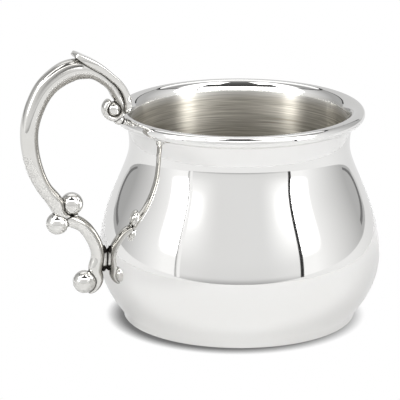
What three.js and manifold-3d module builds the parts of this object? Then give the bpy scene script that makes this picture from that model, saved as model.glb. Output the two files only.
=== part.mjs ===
// Baby cup in polished pewter: a spun, bellied body with a double scroll handle.
// Millimetres, +Z up. The cup's axis is Z, it stands on z = 0 and its handle is on the -X side.
import * as THREE from 'three';
import { mergeVertices } from 'three/addons/utils/BufferGeometryUtils.js';
import Module from 'manifold-3d';

const wasm = await Module();
wasm.setup();

// Sizes of the turned cup
const bodyHeight = 57;
const wall = 1.2;
const bellyRadius = 37.5;
const bellyHeight = 16.8;
const bellyFullness = 5.2;
const shoulderFullness = 15;
const footAngle = 49.5;
const neckRadius = 29.4;
const neckDepth = 10;
const neckTightness = 6.5;
const lipFlare = 1.3;
const lipFlareHeight = 3.2;

// Sizes of the base
const baseHeight = 2.5;
const baseTopRadius = 32.2;
const baseUnderRadius = 31.4;
const baseEdgeRound = 0.6;
const baseThickness = 1.4;
const baseCove = 3;
const bodyStep = 0.2;

// Sizes of the rim wire, which is widest a little below the middle of its height
const rimWireHeight = 2.9;
const rimWireWidth = 3.5;
const rimWireWidest = 1.3;
const rimWireInset = 0.1;

// Sizes of the handle: how far its middle line reaches beyond the belly, how high the spur rises above
// the rim, and how high the upper ball lies above the belly's contact
const handleReach = 20.5;
const handleRise = 18.5;
const upperBallRise = 15.8;

// Sizes of the upper scroll, whose thickness is in the handle's plane and whose width is across it
const scrollShoulder = 6;
const scrollFoot = 4.4;
const scrollWidth = 4.8;
const branchThickness = 2.6;
const branchTopThickness = 4.2;
const branchWidth = 4.4;
const curlThickness = 2;
const curlTipThickness = 0.7;
const curlTipWidth = 2.2;
const curlSeat = 0.1;

// Sizes of the thumb strip and the spur that it ends in
const stripWidth = 6.4;
const stripThickness = 1.9;
const stripBevel = 0.5;
const stripTailThickness = 1.1;
const stripTailWidth = 2.4;
const spurThickness = 2.7;
const spurTipThickness = 1.5;
const spurTipWidth = 2.4;

// Sizes of the lower scroll, whose back is soldered to the belly
const lowerScrollThickness = 3.3;
const lowerScrollWidth = 3.6;
const bellyContactHeight = 19;
const bellyClearance = 0.7;

// Ball ends of the scrolls, and how far outwards and upwards from the rim's crest the first one lies
const rimBallRadius = 2.8;
const rimBallOut = 4.1;
const rimBallUp = 2.7;
const upperBallRadius = 3;
const middleBallRadius = 2.95;
const lowerBallRadius = 3.05;

// Solder joints
const rimSolderRadius = 1.9;
const rimSolderOut = 1.9;
const rimSolderDrop = 0.7;
const bellySolderHeight = 7;
const bellySolderWidth = 3.4;
const bellySolderDepth = 2.6;

// Clearance between neighbouring handle pieces, and how finely round shapes are divided
const gap = 0.3;
const turnSteps = 56;
const profileSteps = 6;
const wireSides = 12;
const limbSides = 12;
const ballSteps = 14;
const curlSteps = 4;
const ringsPerStation = 2;

// The crest of the rim and the seat of the rim wire on the body's top edge
const lipRadius = neckRadius + lipFlare + wall;
const rimSeatHeight = bodyHeight - rimWireHeight;

const { degToRad, lerp } = THREE.MathUtils;
const pewter = (roughness) => new THREE.MeshStandardMaterial({ color: 0xdcdad6, metalness: 1, roughness });
const polished = 0.08;
const satin = 0.35;

// Turned shapes, drawn as profiles of radius and height

const flat = (x, y) => new THREE.Vector2(x, y);

function curvePoints(a, b, c, d) {
  return new THREE.CubicBezierCurve(a, b, c, d).getPoints(profileSteps);
}

// The wall's outer face from the base up to the rim wire's seat.
function outerProfile() {
  const foot = flat(baseTopRadius + bodyStep, baseHeight);
  const belly = flat(bellyRadius, bellyHeight);
  const neck = flat(neckRadius, bodyHeight - neckDepth);
  const seat = flat(neckRadius + lipFlare, rimSeatHeight);
  const lean = flat(bellyFullness, 0).rotateAround(flat(0, 0), degToRad(footAngle)).add(foot);
  const lower = curvePoints(foot, lean, flat(belly.x, belly.y - bellyFullness), belly);
  const shoulder = curvePoints(
    belly,
    flat(belly.x, belly.y + shoulderFullness),
    flat(neck.x, neck.y - neckTightness),
    neck,
  );
  const flare = curvePoints(
    neck,
    flat(neck.x, neck.y + lipFlareHeight),
    flat(seat.x - lipFlare / 2, seat.y - lipFlare),
    seat,
  );
  return [...lower, ...shoulder.slice(1), ...flare.slice(1)];
}

// Moves each point of a rising profile outwards, square to the profile.
function offsetProfile(points, distance) {
  return points.map((point, i) => {
    const before = points[Math.max(i - 1, 0)];
    const after = points[Math.min(i + 1, points.length - 1)];
    const along = after.clone().sub(before).normalize();
    return flat(point.x + along.y * distance, point.y - along.x * distance);
  });
}

// The wall's inner face, cut off level at the base and at the rim wire's seat.
function innerProfile() {
  const inside = offsetProfile(outerProfile(), -wall);
  inside[0].y = baseHeight;
  inside[inside.length - 1].y = rimSeatHeight;
  return inside;
}

// Turns a closed profile about Z.
function turned(profile) {
  const geometry = new THREE.LatheGeometry([...profile, profile[0]], turnSteps);
  const position = geometry.getAttribute('position');
  for (let i = 0; i < position.count; i += 1) {
    position.setXYZ(i, position.getX(i), -position.getZ(i), position.getY(i));
  }
  return asGeometry(asSolid(geometry));
}

function bodyProfile() {
  return [...outerProfile(), ...innerProfile().reverse()];
}

// A flat disc whose edge rises in a cove inside the wall's foot.
function baseProfile() {
  const coveRadius = baseTopRadius + bodyStep - 2 * wall;
  const edge = new THREE.Path();
  edge.absarc(baseUnderRadius - baseEdgeRound, baseEdgeRound, baseEdgeRound, -Math.PI / 2, 0);
  const cove = curvePoints(
    flat(coveRadius + wall / 2, baseHeight),
    flat(coveRadius, baseThickness),
    flat(coveRadius - baseCove / 2, baseThickness),
    flat(coveRadius - baseCove, baseThickness),
  );
  return [
    flat(0, 0),
    ...edge.getPoints(2),
    flat(baseTopRadius, baseHeight - bodyStep),
    flat(baseTopRadius - bodyStep, baseHeight),
    ...cove,
    flat(0, baseThickness),
  ];
}

// The rim wire is round outside and on top, and its flat underside lies on the body's top edge.
function rimProfile(grow = 0) {
  const centre = flat(lipRadius - wall / 2 + rimWireInset, rimSeatHeight + rimWireWidest);
  const inner = innerProfile().pop();
  const points = [flat(inner.x, inner.y - grow)];
  const flatten = Math.cos(Math.PI / wireSides);
  for (let side = 0; side < wireSides - 3; side += 1) {
    const angle = (2 * Math.PI * (side + 0.5)) / wireSides - Math.PI / 2;
    const rise = Math.sin(angle) > 0 ? rimWireHeight - rimWireWidest : rimWireWidest;
    points.push(flat(
      centre.x + Math.cos(angle) * (rimWireWidth / 2 + grow),
      centre.y + Math.sin(angle) * (rise / flatten + grow),
    ));
  }
  return points;
}

// Solids and their meshes

function asSolid(geometry) {
  const bare = geometry.clone();
  bare.deleteAttribute('normal');
  bare.deleteAttribute('uv');
  const merged = mergeVertices(bare, 1e-4);
  const corners = merged.getIndex().array;
  const kept = [];
  for (let i = 0; i < corners.length; i += 3) {
    const [a, b, c] = corners.slice(i, i + 3);
    if (a !== b && b !== c && c !== a) {
      kept.push(a, b, c);
    }
  }
  return new wasm.Manifold(new wasm.Mesh({
    numProp: 3,
    vertProperties: new Float32Array(merged.getAttribute('position').array),
    triVerts: new Uint32Array(kept),
  }));
}

function asGeometry(solid) {
  const mesh = solid.getMesh();
  const geometry = new THREE.BufferGeometry();
  geometry.setAttribute('position', new THREE.BufferAttribute(mesh.vertProperties, 3));
  geometry.setIndex(new THREE.BufferAttribute(mesh.triVerts, 1));
  geometry.computeVertexNormals();
  return geometry;
}

// Everything inside the cup's outer face, grown by a clearance, that the handle has to stay out of.
function cupEnvelope(grow) {
  const side = offsetProfile(outerProfile(), grow);
  const plug = [flat(0, side[0].y), ...side, flat(0, side[side.length - 1].y)];
  return asSolid(turned(plug)).add(asSolid(turned(rimProfile(grow))));
}

// Places in the handle's plane. The first kind is measured outwards and upwards from the rim's crest, as
// shares of the reach from there and of the handle's rise. The second is measured from the belly's contact,
// as shares of the handle's reach and of the upper ball's rise. The third is like the second, but its
// height is a share of the way from the contact up to the rim's crest.

const rimReach = bellyRadius + handleReach - lipRadius;
const fromRim = (out, up) => ({ out: lipRadius + out * rimReach, up: bodyHeight + up * handleRise });
const fromBelly = (out, up) => ({
  out: bellyRadius + out * handleReach,
  up: bellyContactHeight + up * upperBallRise,
});
const onBack = (out, up) => ({
  out: bellyRadius + out * handleReach,
  up: lerp(bellyContactHeight, bodyHeight, up),
});
const place = ({ out, up }) => new THREE.Vector3(-out, 0, up);

const rimBallCentre = { out: lipRadius + rimBallOut, up: bodyHeight + rimBallUp };
const rimSolderCentre = { out: lipRadius + rimSolderOut, up: bodyHeight - rimSolderDrop };
const bellySolderCentre = { out: bellyRadius + bellyClearance, up: bellyContactHeight };
const upperBallCentre = fromBelly(0.449, 1);
const middleBallCentre = fromBelly(0.644, 0.684);
const lowerBallCentre = fromBelly(0.293, -0.373);

// A size is the limb's thickness in the handle's plane and its width across it, and a station is a
// place on the limb's middle line with the size there.
const size = (thick, wide) => ({ thick, wide });

function sizeBetween(from, to, share) {
  return size(lerp(from.thick, to.thick, share), lerp(from.wide, to.wide, share));
}

// Stations at the given places, with sizes that go from one to another, slowly at first if eased.
function tapered(places, from, to = from, easing = 1) {
  return places.map((where, i) => {
    const share = places.length > 1 ? i / (places.length - 1) : 0;
    return { ...where, ...sizeBetween(from, to, share ** easing) };
  });
}

// A scroll's end curls round a ball from one angle to another, where 0 is outwards and 90 is up. A
// quarter of its thickness is let into the ball.
function curl(centre, radius, fromAngle, toAngle, fromSize, toSize) {
  const stations = [];
  for (let i = 0; i <= curlSteps; i += 1) {
    const share = i / curlSteps;
    const angle = degToRad(lerp(fromAngle, toAngle, share));
    const here = sizeBetween(fromSize, toSize, share);
    const distance = radius + curlSeat + here.thick / 4;
    stations.push({
      out: centre.out + Math.cos(angle) * distance,
      up: centre.up + Math.sin(angle) * distance,
      ...here,
    });
  }
  return stations;
}

const curlTipSize = size(curlTipThickness, curlTipWidth);
const branchFootSize = size(curlThickness, branchWidth);
const branchSize = size(branchThickness, branchWidth);
const branchTopSize = size(branchTopThickness, branchWidth);
const shoulderSize = size(scrollShoulder, scrollWidth);
const scrollFootSize = size(scrollFoot, scrollWidth);
const lowerScrollSize = size(lowerScrollThickness, lowerScrollWidth);
const spurTipSize = size(spurTipThickness, spurTipWidth);
const spurSize = size(spurThickness, stripWidth);
const stripSize = size(stripThickness, stripWidth);
const stripTailSize = size(stripTailThickness, stripTailWidth);

// From its curl under the rim ball, up the branch, over the shoulder and down to its curl at the upper ball.
const upperScrollStations = [
  ...curl(rimBallCentre, rimBallRadius, 262, 185, curlTipSize, branchFootSize),
  ...tapered([
    fromRim(0.073, 0.281),
    fromRim(0.134, 0.438),
    fromRim(0.234, 0.584),
    fromRim(0.33, 0.67),
  ], branchSize, branchTopSize, 2),
  ...tapered([fromRim(0.456, 0.73), fromRim(0.582, 0.735)], shoulderSize),
  ...tapered([
    fromRim(0.72, 0.632),
    fromRim(0.831, 0.503),
    fromRim(0.9, 0.357),
    fromRim(0.962, 0.162),
    onBack(1, 0.98),
    onBack(1, 0.83),
    onBack(0.907, 0.65),
    onBack(0.776, 0.52),
  ], shoulderSize, scrollFootSize),
  ...curl(upperBallCentre, upperBallRadius, 0, -120, scrollFootSize, curlTipSize),
];

// From the middle ball, under the upper ball, down the belly and round the lower ball.
const lowerScrollStations = [
  ...tapered([fromBelly(0.576, 0.785)], size(curlThickness, curlTipWidth)),
  ...tapered([
    fromBelly(0.473, 0.722),
    fromBelly(0.351, 0.646),
    fromBelly(0.21, 0.437),
    fromBelly(0.137, 0.228),
    fromBelly(0.117, 0.019),
  ], lowerScrollSize),
  ...curl(lowerBallCentre, lowerBallRadius, 140, 252, lowerScrollSize, curlTipSize),
];

// From the spur's tip, over the branch and down to a tail that lies on the rim.
const thumbStripStations = [
  ...tapered([fromRim(0.54, 0.962)], spurTipSize),
  ...tapered([fromRim(0.487, 0.924), fromRim(0.425, 0.87)], spurSize),
  ...tapered([fromRim(0.33, 0.784), fromRim(0.253, 0.714), fromRim(0.169, 0.616)], spurSize, stripSize),
  ...tapered([
    fromRim(0.096, 0.519),
    fromRim(0.038, 0.405),
    fromRim(0.008, 0.303),
    fromRim(-0.004, 0.205),
  ], stripSize),
  ...tapered([fromRim(0, 0.119), fromRim(0.011, 0.043)], stripSize, stripTailSize),
];

// Handle limbs: closed tubes of one section along a curve in the handle's plane

const roundSection = new THREE.EllipseCurve(0, 0, 1, 1).getPoints(limbSides).slice(0, limbSides);
const bevelIn = 1 - (2 * stripBevel) / stripThickness;
const bevelAcross = 1 - (2 * stripBevel) / stripWidth;
const stripSection = [
  flat(1, -bevelAcross),
  flat(1, bevelAcross),
  flat(bevelIn, 1),
  flat(-1, 1),
  flat(-1, -1),
  flat(bevelIn, -1),
];

function limb(stations, section, grow = 0) {
  const path = new THREE.CatmullRomCurve3(stations.map(place), false, 'centripetal');
  const rings = (stations.length - 1) * ringsPerStation;
  const corners = [];
  const faces = [];
  for (let ring = 0; ring <= rings; ring += 1) {
    const t = ring / rings;
    const along = path.getTangent(t);
    const outward = new THREE.Vector3(-along.z, 0, along.x);
    const end = ring === 0 ? -1 : Number(ring === rings);
    const centre = path.getPoint(t).addScaledVector(along, end * grow);
    const where = t * (stations.length - 1);
    const here = sizeBetween(stations[Math.floor(where)], stations[Math.ceil(where)], where % 1);
    section.forEach((point) => {
      const corner = centre.clone().addScaledVector(outward, point.x * (here.thick / 2 + grow));
      corner.y += point.y * (here.wide / 2 + grow);
      corners.push(...corner.toArray());
    });
  }
  const sides = section.length;
  for (let ring = 0; ring < rings; ring += 1) {
    for (let side = 0; side < sides; side += 1) {
      const a = ring * sides + side;
      const b = ring * sides + ((side + 1) % sides);
      faces.push(a, a + sides, b, b, a + sides, b + sides);
    }
  }
  for (let side = 1; side < sides - 1; side += 1) {
    const last = rings * sides;
    faces.push(0, side, side + 1, last, last + side + 1, last + side);
  }
  const geometry = new THREE.BufferGeometry();
  geometry.setAttribute('position', new THREE.Float32BufferAttribute(corners, 3));
  geometry.setIndex(faces);
  return asSolid(geometry);
}

function ellipsoid(centre, depth, width, height) {
  const geometry = new THREE.SphereGeometry(0.5, ballSteps, ballSteps / 2 + 1);
  geometry.scale(depth, width, height);
  geometry.translate(...place(centre).toArray());
  return asSolid(geometry);
}

const ball = (centre, radius) => ellipsoid(centre, 2 * radius, 2 * radius, 2 * radius);

// The half of space on the cup's side of the flat where the lower scroll is soldered on.
function cupSide() {
  const side = 4 * Math.max(bodyHeight, bellyRadius);
  const geometry = new THREE.BoxGeometry(side, side, side);
  geometry.translate(side / 2 - bellyRadius - bellyClearance, 0, 0);
  return asSolid(geometry);
}

// Cuts other solids out of one and keeps the largest piece that is left.
function cut(solid, ...others) {
  const left = others.reduce((rest, other) => rest.subtract(other), solid);
  return left.decompose().reduce((a, b) => (a.volume() > b.volume() ? a : b));
}

// The handle's pieces, each cut by the pieces beside it grown by the gap

const cup = cupEnvelope(gap);
const thumbStripSpace = limb(thumbStripStations, stripSection, gap);
const upperScrollSpace = limb(upperScrollStations, roundSection, gap);
const lowerScrollSpace = limb(lowerScrollStations, roundSection, gap);
const rimBallSpace = ball(rimBallCentre, rimBallRadius + gap);
const upperBallSpace = ball(upperBallCentre, upperBallRadius + gap);

const thumbStrip = cut(limb(thumbStripStations, stripSection), cup);
const upperScroll = cut(limb(upperScrollStations, roundSection), thumbStripSpace, cup);
const lowerLimb = limb(lowerScrollStations, roundSection);
const lowerScroll = cut(lowerLimb, cupSide(), upperScrollSpace, upperBallSpace);
const rimBall = cut(ball(rimBallCentre, rimBallRadius), upperScrollSpace, thumbStripSpace, cup);
const upperBall = cut(ball(upperBallCentre, upperBallRadius), upperScrollSpace);
const middleBall = cut(ball(middleBallCentre, middleBallRadius), upperScrollSpace, lowerScrollSpace);
const lowerBall = cut(ball(lowerBallCentre, lowerBallRadius), lowerScrollSpace, cup);
const rimSolder = cut(ball(rimSolderCentre, rimSolderRadius), cup, upperScrollSpace, rimBallSpace);
const bellyBead = ellipsoid(bellySolderCentre, bellySolderDepth, bellySolderWidth, bellySolderHeight);
const bellySolder = cut(bellyBead.intersect(cupSide()), cup);

// The cup

function part(name, geometry, roughness) {
  const mesh = new THREE.Mesh(geometry, pewter(roughness));
  mesh.name = name;
  return mesh;
}

const turnedParts = new THREE.Group();
turnedParts.add(
  part('cup_body', turned(bodyProfile()), satin),
  part('base', turned(baseProfile()), polished),
  part('rim_wire', turned(rimProfile()), polished),
);

const handle = new THREE.Group();
const handlePieces = {
  upper_scroll: upperScroll,
  lower_scroll: lowerScroll,
  thumb_strip: thumbStrip,
  rim_ball: rimBall,
  upper_ball: upperBall,
  middle_ball: middleBall,
  lower_ball: lowerBall,
  rim_solder: rimSolder,
  belly_solder: bellySolder,
};
Object.entries(handlePieces).forEach(([name, solid]) => {
  handle.add(part(name, asGeometry(solid), polished));
});

const babyCup = new THREE.Group();
babyCup.add(turnedParts, handle);

export default babyCup;
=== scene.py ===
"""A baby cup in polished pewter: a spun, bellied body with a double scroll handle.

The cup's axis is Z, it stands on z = 0, and its handle is on the -X side, in the XZ plane. Sizes are in
millimetres, and turn into metres where a mesh is made. The studio's are in metres where they say so.
"""

import logging
import math
from collections.abc import Callable
from dataclasses import dataclass, field
from enum import Enum

import bpy
import numpy as np
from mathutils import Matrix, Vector
from mathutils.bvhtree import BVHTree


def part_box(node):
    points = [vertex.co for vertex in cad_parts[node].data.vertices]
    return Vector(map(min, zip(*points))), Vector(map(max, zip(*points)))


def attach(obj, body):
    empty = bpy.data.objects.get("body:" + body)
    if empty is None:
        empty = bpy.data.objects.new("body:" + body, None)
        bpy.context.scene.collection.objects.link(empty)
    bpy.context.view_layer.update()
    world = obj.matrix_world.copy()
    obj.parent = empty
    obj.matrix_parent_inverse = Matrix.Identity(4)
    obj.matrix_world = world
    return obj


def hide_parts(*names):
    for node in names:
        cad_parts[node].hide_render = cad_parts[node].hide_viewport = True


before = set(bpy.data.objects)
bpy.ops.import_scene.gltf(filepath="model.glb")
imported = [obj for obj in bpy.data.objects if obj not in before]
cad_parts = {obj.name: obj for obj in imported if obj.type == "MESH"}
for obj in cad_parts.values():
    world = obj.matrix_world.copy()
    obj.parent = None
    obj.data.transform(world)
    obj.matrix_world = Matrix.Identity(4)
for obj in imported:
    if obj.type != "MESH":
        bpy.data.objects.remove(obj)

MM = 0.001
PHOTO_AZIMUTH = -20.0

log = logging.getLogger("baby_cup")

# A place in a plane, and two numbers of another kind, such as a start and an end
Point = tuple[float, float]
Pair = tuple[float, float]


class Slot(Enum):
    """The record's material slots."""

    POLISHED = "polished_pewter"
    SATIN = "satin_pewter"


class Body(Enum):
    """The frame's bodies: nothing on a cup moves, so there is one."""

    ROOT = "root"


# Helpers for nodes and colours


def linear(hex_colour: str) -> tuple[float, float, float, float]:
    """Turns an sRGB colour into the linear one that a shader takes.

    Args:
        hex_colour: The colour as "#rrggbb".

    Returns:
        Linear red, green and blue, and an alpha of 1.
    """
    channels = [int(hex_colour[i : i + 2], 16) / 255 for i in (1, 3, 5)]
    red, green, blue = (c / 12.92 if c <= 0.04045 else ((c + 0.055) / 1.055) ** 2.4 for c in channels)
    return red, green, blue, 1.0


def add_node(tree: bpy.types.NodeTree, kind: str, inputs: dict | None = None, **settings) -> bpy.types.Node:
    """Adds a node with its settings, values and links.

    Args:
        tree: The tree that the node goes into.
        kind: The node's type, such as "ShaderNodeMath".
        inputs: For each input's name or number, a value, an output socket that is linked to it, or a node
            whose first output is.
        **settings: The node's own properties.

    Returns:
        The new node.
    """
    node = tree.nodes.new(kind)
    for name, value in settings.items():
        setattr(node, name, value)
    for key, value in (inputs or {}).items():
        if isinstance(value, bpy.types.Node):
            value = next(output for output in value.outputs if output.enabled)
        if isinstance(value, bpy.types.NodeSocket):
            tree.links.new(value, node.inputs[key])
        else:
            node.inputs[key].default_value = value
    return node


def new_material(name: str) -> bpy.types.Material:
    """Makes a material with an empty node tree.

    Args:
        name: The material's name.

    Returns:
        The new material.
    """
    material = bpy.data.materials.new(name)
    material.use_nodes = True
    material.node_tree.nodes.clear()
    return material


def per_metre(millimetres: float) -> float:
    """Gives the texture scale whose features are this many millimetres apart."""
    return 1 / (millimetres * MM)


def eased(value: float, start: float, end: float) -> float:
    """Goes smoothly from 0 at the start to 1 at the end."""
    share = min(1.0, max(0.0, (value - start) / (end - start)))
    return share * share * (3 - 2 * share)


# Finishes


@dataclass(frozen=True)
class PolishedPewter:
    """Pewter spun and turned on the lathe, then buffed to a mirror with a soft mop.

    It is almost white and shows the room round it, a little soft and with a faint warm haze where the mop
    has passed.

    Attributes:
        name: The material's name.
        colour: The clean metal.
        haze: The metal under the faint haze.
        haze_spacing: Millimetres between patches of haze.
        roughness: The clean metal's roughness, and how much the haze adds to it.
        ripple_spacing: Millimetres between the shallow ripples that hand buffing leaves.
        ripple_depth: Their depth in millimetres.
    """

    name: str = "mirror_polished_pewter"
    colour: str = "#eeeeed"
    haze: str = "#ebeae8"
    haze_spacing: float = 14.0
    roughness: Pair = (0.025, 0.03)
    ripple_spacing: float = 9.0
    ripple_depth: float = 0.004

    def material(self) -> bpy.types.Material:
        """Builds the material.

        Returns:
            The new material.
        """
        material = new_material(self.name)
        tree = material.node_tree
        place = add_node(tree, "ShaderNodeTexCoord").outputs["Object"]
        haze = add_node(
            tree,
            "ShaderNodeTexNoise",
            {"Vector": place, "Scale": per_metre(self.haze_spacing), "Detail": 3.0},
        )
        tone = add_node(
            tree,
            "ShaderNodeMix",
            {"Factor": haze, "A": linear(self.colour), "B": linear(self.haze)},
            data_type="RGBA",
        )
        clean, hazy = self.roughness
        roughness = add_node(tree, "ShaderNodeMath", {0: haze, 1: hazy, 2: clean}, operation="MULTIPLY_ADD")
        ripple = add_node(
            tree,
            "ShaderNodeTexNoise",
            {"Vector": place, "Scale": per_metre(self.ripple_spacing), "Detail": 0.0},
        )
        bump = add_node(tree, "ShaderNodeBump", {"Height": ripple, "Distance": self.ripple_depth * MM})
        shader = add_node(
            tree,
            "ShaderNodeBsdfPrincipled",
            {"Base Color": tone, "Metallic": 1.0, "Roughness": roughness, "Normal": bump},
        )
        add_node(tree, "ShaderNodeOutputMaterial", {"Surface": shader})
        return material


@dataclass(frozen=True)
class CastPewter:
    """Pewter cast in a mould, filed and buffed by hand where the mop reaches.

    The outer faces are bright. The side that faces the cup keeps its rougher cast finish, streaked along the
    limb by the file, whose grey also paints shade there; the facets beside the scored lines get that grey as
    a painted dark reflection. The creases between pieces are painted black and grey as shade, partly as
    tarnished metal. The piece's attributes "skin", "crease" and "grain" say where each of these is.

    Attributes:
        name: The material's name.
        colour: The buffed metal.
        haze: The buffed metal where the mop has left a haze.
        haze_spacing: Millimetres between patches of haze.
        skin: The rough cast finish between streaks, whose grey also paints shade.
        streak: The cast skin in its streaks.
        streak_size: A streak's length and width in millimetres.
        streak_depth: Its depth in millimetres.
        tarnish_and_shade: The black painted into the creases as shade, partly tarnished metal.
        roughness: The roughness of the buffed metal, and what the rough cast finish and the creases add to
            it.
    """

    name: str = "buffed_cast_pewter"
    colour: str = "#e6e5e2"
    haze: str = "#d9d8d4"
    haze_spacing: float = 5.0
    # The grey of the rough cast finish, which also paints shade and dark reflections
    skin: str = "#c6c4bf"
    streak: str = "#85827c"
    streak_size: Pair = (9.0, 0.45)
    streak_depth: float = 0.002
    # The black of the creases: painted shade, partly tarnished metal
    tarnish_and_shade: str = "#262421"
    roughness: tuple[float, float, float] = (0.05, 0.13, 0.4)

    def material(self) -> bpy.types.Material:
        """Builds the material.

        Returns:
            The new material.
        """
        material = new_material(self.name)
        tree = material.node_tree
        place = add_node(tree, "ShaderNodeTexCoord").outputs["Object"]
        haze = add_node(
            tree,
            "ShaderNodeTexNoise",
            {"Vector": place, "Scale": per_metre(self.haze_spacing), "Detail": 3.0},
        )
        buffed = add_node(
            tree,
            "ShaderNodeMix",
            {"Factor": haze, "A": linear(self.colour), "B": linear(self.haze)},
            data_type="RGBA",
        )
        grain = add_node(tree, "ShaderNodeAttribute", attribute_name="grain").outputs["Vector"]
        length, width = (per_metre(size) for size in self.streak_size)
        drawn = add_node(
            tree, "ShaderNodeVectorMath", {0: grain, 1: (length, width, 1)}, operation="MULTIPLY"
        )
        streaks = add_node(tree, "ShaderNodeTexNoise", {"Vector": drawn, "Scale": 1.0, "Detail": 2.0})
        rough = add_node(
            tree,
            "ShaderNodeMix",
            {"Factor": streaks, "A": linear(self.skin), "B": linear(self.streak)},
            data_type="RGBA",
        )
        # Where the rough cast finish is, its grey painting shade and dark reflections too
        skin = add_node(tree, "ShaderNodeAttribute", attribute_name="skin").outputs["Fac"]
        metal = add_node(tree, "ShaderNodeMix", {"Factor": skin, "A": buffed, "B": rough}, data_type="RGBA")
        # Where the creases are painted black as shade
        crease = add_node(tree, "ShaderNodeAttribute", attribute_name="crease").outputs["Fac"]
        tone = add_node(
            tree, "ShaderNodeMix", {"Factor": crease, "A": metal, "B": linear(self.tarnish_and_shade)}, data_type="RGBA"
        )
        clean, dull, in_crease = self.roughness
        worn = add_node(tree, "ShaderNodeMath", {0: skin, 1: dull, 2: clean}, operation="MULTIPLY_ADD")
        roughness = add_node(tree, "ShaderNodeMath", {0: crease, 1: in_crease, 2: worn}, operation="MULTIPLY_ADD")
        bump = add_node(
            tree, "ShaderNodeBump", {"Height": streaks, "Distance": self.streak_depth * MM, "Strength": skin}
        )
        shader = add_node(
            tree,
            "ShaderNodeBsdfPrincipled",
            {"Base Color": tone, "Metallic": 1.0, "Roughness": roughness, "Normal": bump},
        )
        add_node(tree, "ShaderNodeOutputMaterial", {"Surface": shader})
        return material


@dataclass(frozen=True)
class BrushedPewter:
    """Pewter brushed round and round on the lathe with a fine wire brush.

    It is a warm, darker grey, and each bright part of the room becomes a streak down the wall, across the
    fine marks.

    Attributes:
        name: The material's name.
        crest: The metal between brush marks.
        valley: The metal in the brush marks.
        mark_spacing: Millimetres between brush marks. Real ones are about 0.1 mm apart, too fine to show, so
            they are drawn coarser.
        mark_length: How far a mark runs round the wall, in millimetres.
        mark_depth: A mark's depth in millimetres.
        mark_contrast: The noise's levels at which a mark is all valley and all crest.
        roughness: The metal's roughness, and the polished rim's.
        anisotropy: How much more a highlight spreads across the marks than along them.
        across: The turn of the tangent that lays the streaks across the marks, as a share of a full turn.
        wall_radius: The radius at which a mark's length is measured, in millimetres.
        edge: Between which heights in millimetres the brushing fades into the polished rim.
        rim: The metal of that rim.
        lighter_from: The height from which the brushed metal is painted lighter, a painted highlight.
    """

    name: str = "satin_brushed_pewter"
    crest: str = "#d6d2c8"
    valley: str = "#a39e93"
    mark_spacing: float = 0.34
    mark_length: float = 14.0
    mark_depth: float = 0.006
    mark_contrast: Pair = (0.32, 0.68)
    roughness: Pair = (0.44, 0.04)
    anisotropy: float = 1.0
    across: float = 0.25
    wall_radius: float = 30.0
    edge: Pair = (53.4, 55.0)
    rim: str = "#eae9e6"
    lighter_from: float = 51.5

    def material(self) -> bpy.types.Material:
        """Builds the material.

        Returns:
            The new material.
        """
        material = new_material(self.name)
        tree = material.node_tree
        place = add_node(tree, "ShaderNodeTexCoord").outputs["Object"]
        height = add_node(tree, "ShaderNodeSeparateXYZ", {"Vector": place}).outputs["Z"]
        outwards = add_node(tree, "ShaderNodeVectorMath", {0: place, 1: (1, 1, 0)}, operation="MULTIPLY")
        radius = add_node(tree, "ShaderNodeVectorMath", {0: outwards}, operation="LENGTH")
        direction = add_node(tree, "ShaderNodeVectorMath", {0: outwards}, operation="NORMALIZE")
        around = add_node(
            tree,
            "ShaderNodeVectorMath",
            {0: direction, "Scale": self.wall_radius / self.mark_length},
            operation="SCALE",
        )
        across = add_node(tree, "ShaderNodeMath", {0: height, 1: radius}, operation="ADD")
        rings = add_node(
            tree, "ShaderNodeMath", {0: across, 1: per_metre(self.mark_spacing)}, operation="MULTIPLY"
        )
        lift = add_node(tree, "ShaderNodeCombineXYZ", {"Z": rings})
        brushed = add_node(tree, "ShaderNodeVectorMath", {0: around, 1: lift}, operation="ADD")
        marks = add_node(
            tree, "ShaderNodeTexNoise", {"Vector": brushed, "Scale": 1.0, "Detail": 2.0, "Roughness": 0.6}
        )
        low, high = self.mark_contrast
        clear = add_node(tree, "ShaderNodeMapRange", {"Value": marks, "From Min": low, "From Max": high})
        grey = add_node(
            tree,
            "ShaderNodeMix",
            {"Factor": clear, "A": linear(self.valley), "B": linear(self.crest)},
            data_type="RGBA",
        )
        low, high = self.edge
        # Painted lighter from lighter_from up: a painted highlight, then the polished rim's own colour
        polish_and_highlight = add_node(
            tree,
            "ShaderNodeMapRange",
            {"Value": height, "From Min": self.lighter_from * MM, "From Max": high * MM},
            interpolation_type="SMOOTHSTEP",
        )
        tone = add_node(
            tree,
            "ShaderNodeMix",
            {"Factor": polish_and_highlight, "A": grey, "B": linear(self.rim)},
            data_type="RGBA",
        )
        roughness = add_node(
            tree,
            "ShaderNodeMapRange",
            {
                "Value": height,
                "From Min": low * MM,
                "From Max": high * MM,
                "To Min": self.roughness[0],
                "To Max": self.roughness[1],
            },
            interpolation_type="SMOOTHSTEP",
        )
        bump = add_node(tree, "ShaderNodeBump", {"Height": marks, "Distance": self.mark_depth * MM})
        tangent = add_node(tree, "ShaderNodeTangent", direction_type="RADIAL", axis="Z")
        shader = add_node(
            tree,
            "ShaderNodeBsdfPrincipled",
            {
                "Base Color": tone,
                "Metallic": 1.0,
                "Roughness": roughness,
                "Anisotropic": self.anisotropy,
                "Anisotropic Rotation": self.across,
                "Tangent": tangent,
                "Normal": bump,
            },
        )
        add_node(tree, "ShaderNodeOutputMaterial", {"Surface": shader})
        return material


@dataclass(frozen=True)
class Glow:
    """A studio panel's even light, as strong as the panel's own "glow" attribute says."""

    name: str = "studio_panel"

    def material(self) -> bpy.types.Material:
        """Builds the material.

        Returns:
            The new material.
        """
        material = new_material(self.name)
        tree = material.node_tree
        level = add_node(tree, "ShaderNodeAttribute", attribute_name="glow").outputs["Fac"]
        light = add_node(tree, "ShaderNodeEmission", {"Strength": level})
        add_node(tree, "ShaderNodeOutputMaterial", {"Surface": light})
        return material


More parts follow.
